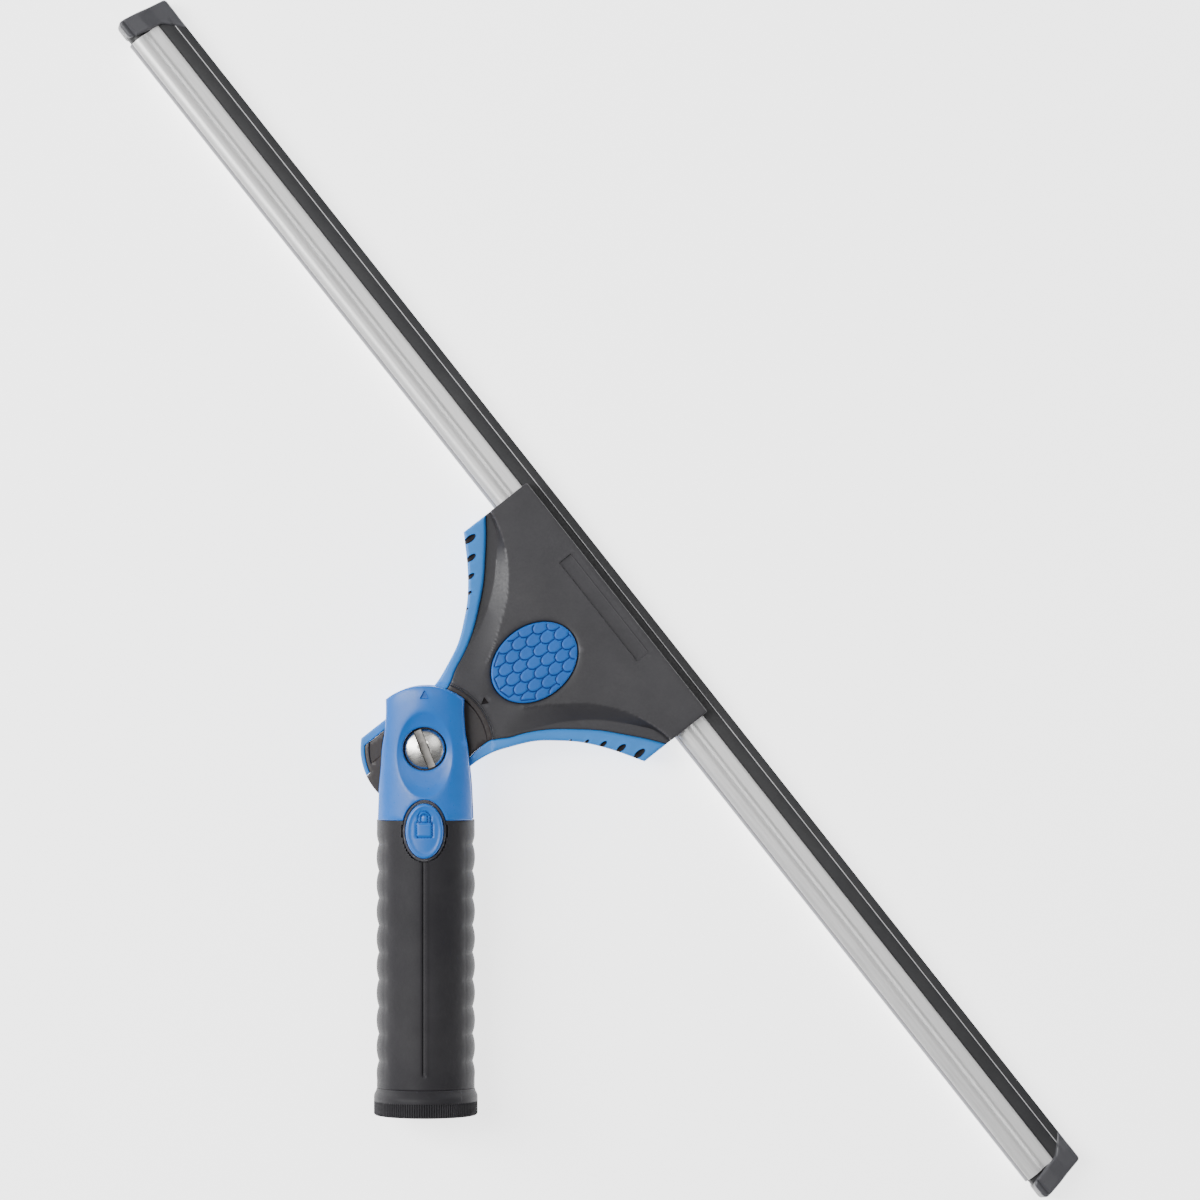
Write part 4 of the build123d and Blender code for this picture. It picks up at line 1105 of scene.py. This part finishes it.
def make_button():
    """Lock button with its padlock mark, and the ring round it."""
    outline = resample(oval(0, BUTTON[1], BUTTON[2], BUTTON[3], 150), 0.3)
    region = Relief(outline, (), 0.45)
    region.edge(0.75, 5)
    y0 = BUTTON[1]
    case = rounded([(-2.45, y0 - 1.9), (2.45, y0 - 1.9), (2.45, y0 + 2.6), (-2.45, y0 + 2.6)], 0.3)
    lines = [(resample(case, 0.3), True)]
    for half, count in ((1.95, 22), (1.05, 16)):
        bow = [(-half, y0 + 2.6), (-half, y0 + 4.1), *arc(0, y0 + 4.1, half, half, 180, 0, count)[1:],
               (half, y0 + 2.6)]
        lines.append((resample(bow, 0.3, closed=False), False))
    for line, closed in lines:
        region.line(line, closed=closed)
    face = resample(oval(0, y0, BUTTON[2] - 1.0, BUTTON[3] - 1.0, 120), 0.4)
    region.feature(face, [(-0.7, -0.28), (-0.3, -0.2), (0.15, 0.0)])
    region.solve()
    x = region.flat[:, 0]
    near = np.full(len(x), 1e9)
    for line, closed in lines:
        near = np.minimum(near, distance(region.flat, line, closed=closed))
    groove = -0.38 * np.exp(-(near / 0.17) ** 2)
    raised = np.where(inside(region.flat, case), 0.12, 0.0)
    top = crown_height(x, 14.66, 20.0) + groove + raised + region.carved() - drop(region.border(), 0.75)
    points, faces = region.solid(top, np.full(len(x), 11.85))
    # The padlock mark's grooves are coloured darker blue: painted shade.
    index = near[region.faces].mean(1) < 0.13
    piece("lock_button_cap", points, faces, "lock", "blue_plastic",
          ["lock_button"], 48, index, ["painted_groove_shade"])
    # The dark ring that lines the button's opening.
    ring = Relief(resample(oval(0, y0, BUTTON[2] + 0.98, BUTTON[3] + 0.98, 150), 0.35),
                  [resample(oval(0, y0, BUTTON[2] + 0.16, BUTTON[3] + 0.16, 150), 0.35)], 0.4)
    ring.solve()
    x = ring.flat[:, 0]
    top = crown_height(x) - 0.55 - drop(ring.border(), 0.25)
    points, faces = ring.solid(top, np.full(len(x), 11.95))
    piece("button_surround", points, faces, "handle", "black_nylon",
          ["button_bezel"], 45)


def make_grip():
    """Soft grip: oval tube with convex scallops between cusps down each side, a groove down the front."""
    low_y, high_y = span("grip_sleeve")
    half_x, half_z = 15.2, 14.0
    pitch, first = 8.36, 8.35
    ys = set(np.linspace(low_y, high_y, 150))
    cusp = [low_y + first + k * pitch for k in range(-1, 12)]
    for c in cusp:
        for d in (-0.6, -0.25, 0.0, 0.25, 0.6):
            if low_y < c + d < high_y:
                ys.add(c + d)
    for d in (0.0, 0.12, 0.35, 0.7):
        ys.add(low_y + d)
        ys.add(high_y - d)
    crease_low, crease_high = -100.7, BUTTON[1] - BUTTON[3] - 0.6
    for d in (-1.0, -0.6, -0.2, 0.2, 0.6, 1.0, 1.5):
        ys.add(crease_low + d)
    ys |= set(np.linspace(BUTTON[1] - BUTTON[3] - 1.1, high_y, 40))
    ys = np.array(sorted(ys))
    ys = ys[np.concatenate([[True], np.diff(ys) > 0.03])]
    angles = list(np.linspace(0, 360, 181)[:-1])
    angles += [90 + a for a in (-4.6, -3.9, -3.2, -2.5, -1.2, 0.6, 1.2, 1.8, 2.5, 3.2, 3.9, 4.6)]
    angles = np.radians(np.array(sorted(set(np.round(angles, 4)))))
    count = len(angles)
    rows = []
    for y in ys:
        x, z = half_x * np.cos(angles), half_z * np.sin(angles)
        phase = ((y - low_y - first) / pitch) % 1.0
        bulge = 1 - (2 * phase - 1) ** 2
        depth = 0.75 * (1 - bulge)
        live = np.clip((high_y - 3.0 - y) / 3.0, 0, 1) * np.clip((y - low_y - 2.0) / 3.0, 0, 1)
        side = np.clip((np.abs(x) - 11.4) / (half_x - 11.4), 0, 1) ** 0.8
        panel = np.interp(np.abs(x), [0, 12.2, 12.6, 12.9, 13.2], [0, 0, 0.10, 0.02, 0])
        x = x - np.sign(x) * (depth * side * live + 0.12 * (1 - live) * side)
        z = z - np.sign(z) * panel * live * 0.9
        along = np.clip((y - crease_low) / 1.2, 0, 1) * (y < crease_high + 3)
        groove = np.interp(x, [-1.25, -0.75, -0.45, 0.35, 0.62, 0.95, 1.35],
                           [0, -0.10, -0.62, -0.42, 0.10, 0.12, 0])
        z = np.where(np.sin(angles) > 0, z + groove * along, z)
        edge = max(drop(np.array([y - low_y]), 0.35)[0], drop(np.array([high_y - y]), 0.35)[0])
        shrink = 1 - edge / half_x
        x, z = x * shrink, z * shrink
        rows.append(np.column_stack([x, np.full(count, y), z]))
    points = np.concatenate(rows)
    faces = []
    total = len(ys)
    for r in range(total - 1):
        for k in range(count):
            j = (k + 1) % count
            faces.append((r * count + k, (r + 1) * count + k, (r + 1) * count + j, r * count + j))
    # The button's well, and under it the lining that dips.
    well = oval(0, BUTTON[1], BUTTON[2] + 1.0, BUTTON[3] + 1.0, 90)
    points[inside(points[:, :2], well) & (points[:, 2] > 0), 2] = 8.75
    inner_r = 12.65
    inner_rows = []
    for y, sunk in ((ys[0], False), (-46.0, False), (-45.0, True), (ys[-1], True)):
        x, z = inner_r * np.cos(angles), inner_r * 0.985 * np.sin(angles)
        if sunk:
            z = np.where((np.abs(x) < 7.5) & (z > 8.7), 8.7, z)
        inner_rows.append(np.column_stack([x, np.full(count, y), z]))
    start = len(points)
    points = np.concatenate([points, *inner_rows])
    last = start + 3 * count
    for k in range(count):
        j = (k + 1) % count
        faces.append((k, j, start + j, start + k))
        faces.append(((total - 1) * count + j, (total - 1) * count + k, last + k, last + j))
        for row in range(start, last, count):
            faces.append((row + k, row + j, row + count + j, row + count + k))
    piece("grip_soft", points, faces, "handle", "grip_rubber", ["grip_sleeve"], 32)


def make_collar():
    """Flared end ring with fine ribs round its rim."""
    low_y = span("end_collar")[0]
    ribs, per = 132, 6
    count = ribs * per
    angles = np.linspace(0, 2 * math.pi, count, endpoint=False)
    wave = np.clip(np.sin(np.arange(count) / per * 2 * math.pi) * 1.6, -1, 1)
    profile = [(0.0, 0.9), (0.12, 0.45), (0.35, 0.15)]
    profile += [(rise, 0.0) for rise in (0.7, 1.1, 2.4, 3.6, 4.1, 4.5, 4.9, 5.4, 5.9)]
    profile += [(6.4, 0.10), (6.9, 0.30), (7.4, 0.55), (7.9, 0.74), (8.2, 0.80), (8.4, 0.95)]
    rows = []
    for rise, inset in profile:
        share = np.clip((rise - 5.6) / 2.8, 0, 1)
        half_x = (16.0 - inset) * (1 - share) + (15.2 + (0.8 - inset)) * share
        half_z = (16.0 - inset) * (1 - share) + (14.0 + 0.15 + (0.8 - inset)) * share
        live = 1.0 if 0.3 < rise < 4.2 else 0.0
        depth = 0.16 * (1 - wave) * live
        x, z = (half_x - depth) * np.cos(angles), (half_z - depth) * np.sin(angles)
        rows.append(np.column_stack([x, np.full(count, low_y + rise), z]))
    inner = [(8.4, 12.7), (0.35, 12.7), (0.0, 13.0)]
    for rise, radius in inner:
        x, z = radius * np.cos(angles), radius * np.sin(angles)
        rows.append(np.column_stack([x, np.full(count, low_y + rise), z]))
    points = np.concatenate(rows)
    faces = []
    total = len(rows)
    for r in range(total):
        s = (r + 1) % total
        for k in range(count):
            j = (k + 1) % count
            faces.append((r * count + k, s * count + k, s * count + j, r * count + j))
    piece("end_ring", points, faces, "handle", "grip_rubber", ["end_collar"], 30)


def make_shell_screws():
    """The fork's two screws, in its back shell."""
    parts = []
    for x, y in SHELL_SCREWS:
        points, faces = cut_screw(0.0, BEND, 11.2, 2.55, 1.4)
        parts.append((points + np.array([x, y - BEND, 0]), faces))
    points, faces = joined(parts)
    piece("shell_screw_heads", points, faces, "handle", "screw_steel",
          ["shell_screws"], 30)


make_front_cover()
make_back_cover()
make_head_screws()
make_rims()
make_thumb_pad()
make_hub()
make_channel()
make_rubber()
make_end_caps()
make_fork_shells()
make_screw()
make_button()
make_grip()
make_collar()
make_shell_screws()

# Pieces kept as modelled: each takes its slot's finish, or a darker one.
FINISH = {"lock_disc": "dark_steel", "handle_core": "hub_nylon"}
for name, node in frame["nodes"].items():
    if node.hide_render:
        continue
    slot = next(part["material_slot"] for part in record["subparts"] if part["node"] == name)
    node.data.materials.clear()
    node.data.materials.append(MATERIALS[FINISH.get(name, slot)])

# ======================= stage =======================

camera_distance = 1.8          # from the handle's middle plane, m
view_side = 0.3702             # what the frame's side covers at that plane, m
view_nudge = 0.0008            # m to the right


def aim(obj, target):
    """Turns a light or the camera towards a point."""
    obj.rotation_euler = (Vector(target) - obj.location).to_track_quat("-Z", "Y").to_euler()


def make_camera(centre):
    """Looks straight down on the tool's face, handle upright."""
    data = bpy.data.cameras.new("camera")
    camera = bpy.data.objects.new("camera", data)
    bpy.context.collection.objects.link(camera)
    data.sensor_width = 36.0
    data.lens = data.sensor_width * camera_distance / view_side
    data.clip_end = 20
    camera.location = (centre.x + view_nudge, centre.y, camera_distance)
    bpy.context.scene.camera = camera


def make_floor(centre, level):
    """Pale table top under the tool."""
    mesh = bpy.data.meshes.new("floor")
    half = 3.0
    corners = [(-half, -half, 0), (half, -half, 0), (half, half, 0), (-half, half, 0)]
    mesh.from_pydata(corners, [], [(0, 1, 2, 3)])
    floor = bpy.data.objects.new("floor", mesh)
    bpy.context.collection.objects.link(floor)
    floor.location = (centre.x, centre.y, level)
    material = bpy.data.materials.new("floor")
    material.use_nodes = True
    shader = material.node_tree.nodes["Principled BSDF"]
    shader.inputs["Base Color"].default_value = (0.97, 0.97, 0.97, 1)
    shader.inputs["Roughness"].default_value = 0.9
    shader.inputs["Emission Color"].default_value = (1, 1, 1, 1)
    shader.inputs["Emission Strength"].default_value = 2.5
    mesh.materials.append(material)


def make_light(name, place, target, size, power):
    data = bpy.data.lights.new(name, "AREA")
    data.shape = "RECTANGLE"
    data.size, data.size_y = size
    data.energy = power
    light = bpy.data.objects.new(name, data)
    bpy.context.collection.objects.link(light)
    light.location = place
    aim(light, target)


centre = (cad_low + cad_high) / 2
make_camera(centre)
make_floor(centre, cad_low.z)
make_light("key", (centre.x - 0.95, centre.y + 0.25, 1.2), centre, (0.6, 1.5), 34)
make_light("sheen", (centre.x + 0.43, centre.y + 0.36, 1.35), centre, (0.55, 0.55), 2.5)
make_light("fill", (centre.x + 1.2, centre.y - 0.3, 0.6), centre, (0.4, 1.0), 0.8)
world = bpy.data.worlds.new("world")
bpy.context.scene.world = world
world.use_nodes = True
world.node_tree.nodes["Background"].inputs["Color"].default_value = (0.95, 0.97, 1, 1)
world.node_tree.nodes["Background"].inputs["Strength"].default_value = 0.16
